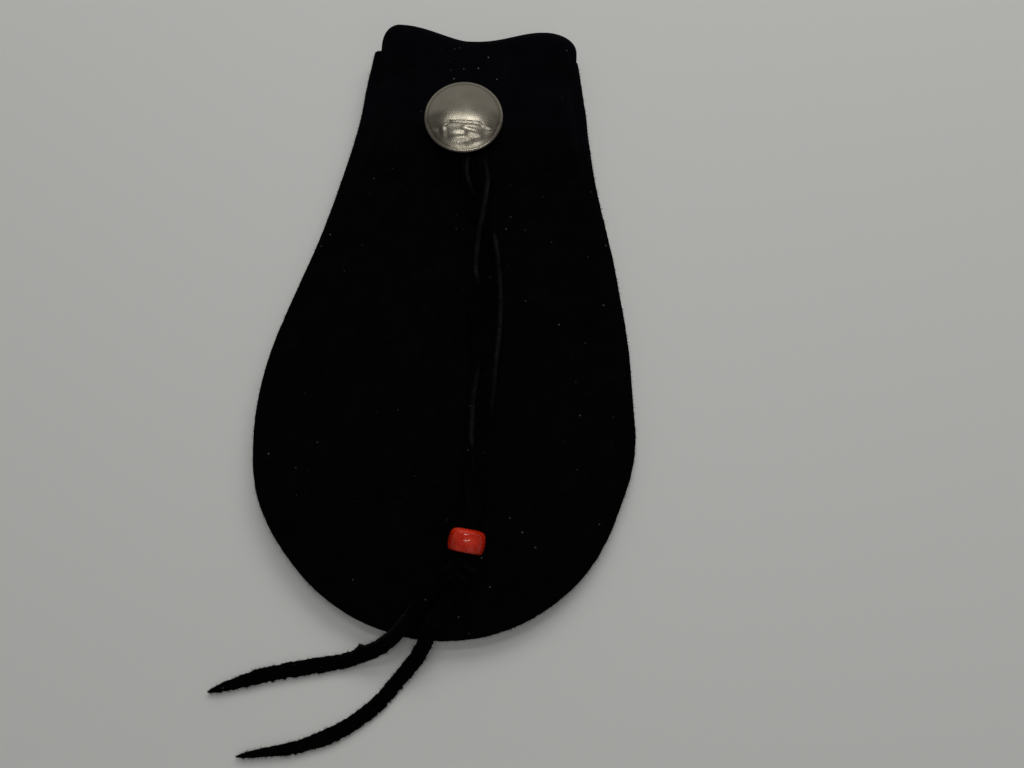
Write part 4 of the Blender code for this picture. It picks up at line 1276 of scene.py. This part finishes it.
def make_knot(material):
    """A core of pressed strap, with the doubled strap's turns round it."""
    centre = bead_centre() - BEAD_AXIS * (BEAD_LENGTH / 2 + KNOT_BELOW_BEAD + KNOT_HALF) + KNOT_SHIFT
    mesh = bmesh.new()
    layer = mesh.verts.layers.float.new("cut")
    core = bmesh.ops.create_uvsphere(mesh, u_segments=48, v_segments=30, radius=1)
    for vert in core["verts"]:
        vert.co = Vector([c * size for c, size in zip(vert.co, KNOT_CORE)]) * MM + centre
        out = (vert.co - centre).normalized()
        vert.co += out * KNOT_CORE_LUMP * MM * wobble(vert.co, KNOT_CORE_PITCH, KNOT_SEED)
    slant = Vector((0.62, 0.75, 0.22)).normalized()
    flat = Vector((0.75, -0.62, 0.0)).normalized()
    flat = (flat - slant * flat.dot(slant)).normalized()
    steep = Vector((-0.35, 0.90, -0.25)).normalized()
    level = Vector((1.0, 0.3, 0.0)).normalized()
    level = (level - steep * level.dot(steep)).normalized()
    knot_wrap(mesh, layer, centre + slant * 1.25 * MM, slant, flat, (2.7 * MM, 2.25 * MM), seed=14)
    knot_wrap(mesh, layer, centre - slant * 1.35 * MM, slant, flat, (2.6 * MM, 2.1 * MM), seed=15)
    knot_wrap(mesh, layer, centre, steep, level, (3.0 * MM, 2.0 * MM), seed=16)
    return finished_piece("knot_tied", mesh, material)


# The whole

# Each lamp's name, place, width, depth and radiance, and whether it is mirrored. They face LIT_PLACE
LAMPS = (
    ("ceiling_strip", (-0.06, 0.57, 1.09), 0.62, 0.08, 16.0, True),
    ("overhead_strip", (0.10, 0.04, 1.24), 0.80, 0.07, 14.0, True),
    ("overhead_box", (0.10, 0.16, 1.30), 1.2, 0.6, 0.34, False),
    ("top_box", (0.28, 1.0, 0.74), 1.1, 0.5, 5.6, False),
    ("far_wall", (0.0, 1.50, 0.85), 3.2, 1.3, 0.58, True),
    ("right_fill", (0.7, -0.95, 0.95), 0.9, 0.9, 0.45, True),
)
LIT_PLACE = Vector((0, 0, 0.01))
FLOOR_HALF = 1.4
FLOOR_DROP = 0.02 * MM

make_camera()
for name, place, size_x, size_y, radiance, mirrored in LAMPS:
    area_lamp(name, Vector(place), LIT_PLACE, size_x, size_y, radiance, mirrored)
make_world(level=0.135, mirrored=0.25, seen=0.75)
bpy.context.scene.view_settings.view_transform = "Standard"

floor_mesh = bpy.data.meshes.new("floor")
corners = [(FLOOR_HALF * x, FLOOR_HALF * y, 0) for x, y in ((-1, -1), (1, -1), (1, 1), (-1, 1))]
floor_mesh.from_pydata(corners, [], [(0, 1, 2, 3)])
floor = new_object("floor", floor_mesh)
floor.location.z = -FLOOR_DROP
floor_mesh.materials.append(floor_material())

low_tones = ((0.0004, 0.0004, 0.0004), (0.0008, 0.0008, 0.0008), (0.0014, 0.0014, 0.0014))
# Painted sheen: the upper pouch's tones, lighter and bluer than the low ones
sheen_top_tones = ((0.0007, 0.0007, 0.0011), (0.0012, 0.0012, 0.0018), (0.0020, 0.0020, 0.0028))
face_tones = ((0.0003, 0.0003, 0.0003), (0.0006, 0.0006, 0.0006), (0.0011, 0.0011, 0.0011))
# Painted highlight: the lighter tones of the lace's cut edges
cut_tones = ((0.0014, 0.0014, 0.0014), (0.0044, 0.0043, 0.0042), (0.0092, 0.0090, 0.0087))
black_suede = suede("black_suede", {"low": low_tones, "high": sheen_top_tones}, 2600, 0.7)
black_lace = suede("black_lace", {"low": face_tones, "high": face_tones, "cut": cut_tones}, 2300, 0.9)

front = make_front()
back = make_back_and_flap()
for piece, node in ((front, "front_panel"), (back, "back_and_flap")):
    piece.data.materials.clear()
    piece.data.materials.append(black_suede)
    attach(piece, "root")
    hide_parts(node)

left_obj, left_path = strand(
    "lace_left", black_lace, STRAND_LEFT + TAIL_RIGHT, tip_length=22 * MM, seed=6, lit=0.3,
)
right_obj, right_path = strand(
    "lace_right", black_lace, STRAND_RIGHT + TAIL_LEFT, tip_length=12 * MM, seed=7, lit=1.0,
)
knot = make_knot(black_lace)
bead = make_bead(bead_material())
for piece, tail in ((left_obj, "lace_tail_right"), (right_obj, "lace_tail_left")):
    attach(piece, "root")
    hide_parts("lace_loop", tail)
for piece, node, slot in ((knot, "lace_knot", "black_lace"), (bead, "bead", "red_bead")):
    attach(piece, "root")
    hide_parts(node)

coin = make_coin(coin_material())
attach(coin, "root")
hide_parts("coin")

snap = metal_material("snap_metal", colour=(0.45, 0.43, 0.4), roughness=0.35)
for name in ("snap_cap", "snap_socket", "snap_stud", "snap_eyelet"):
    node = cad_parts[name]
    node.data.materials.clear()
    node.data.materials.append(snap)
thread = make_thread(thread_material())
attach(thread, "root")
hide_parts("seam_thread")
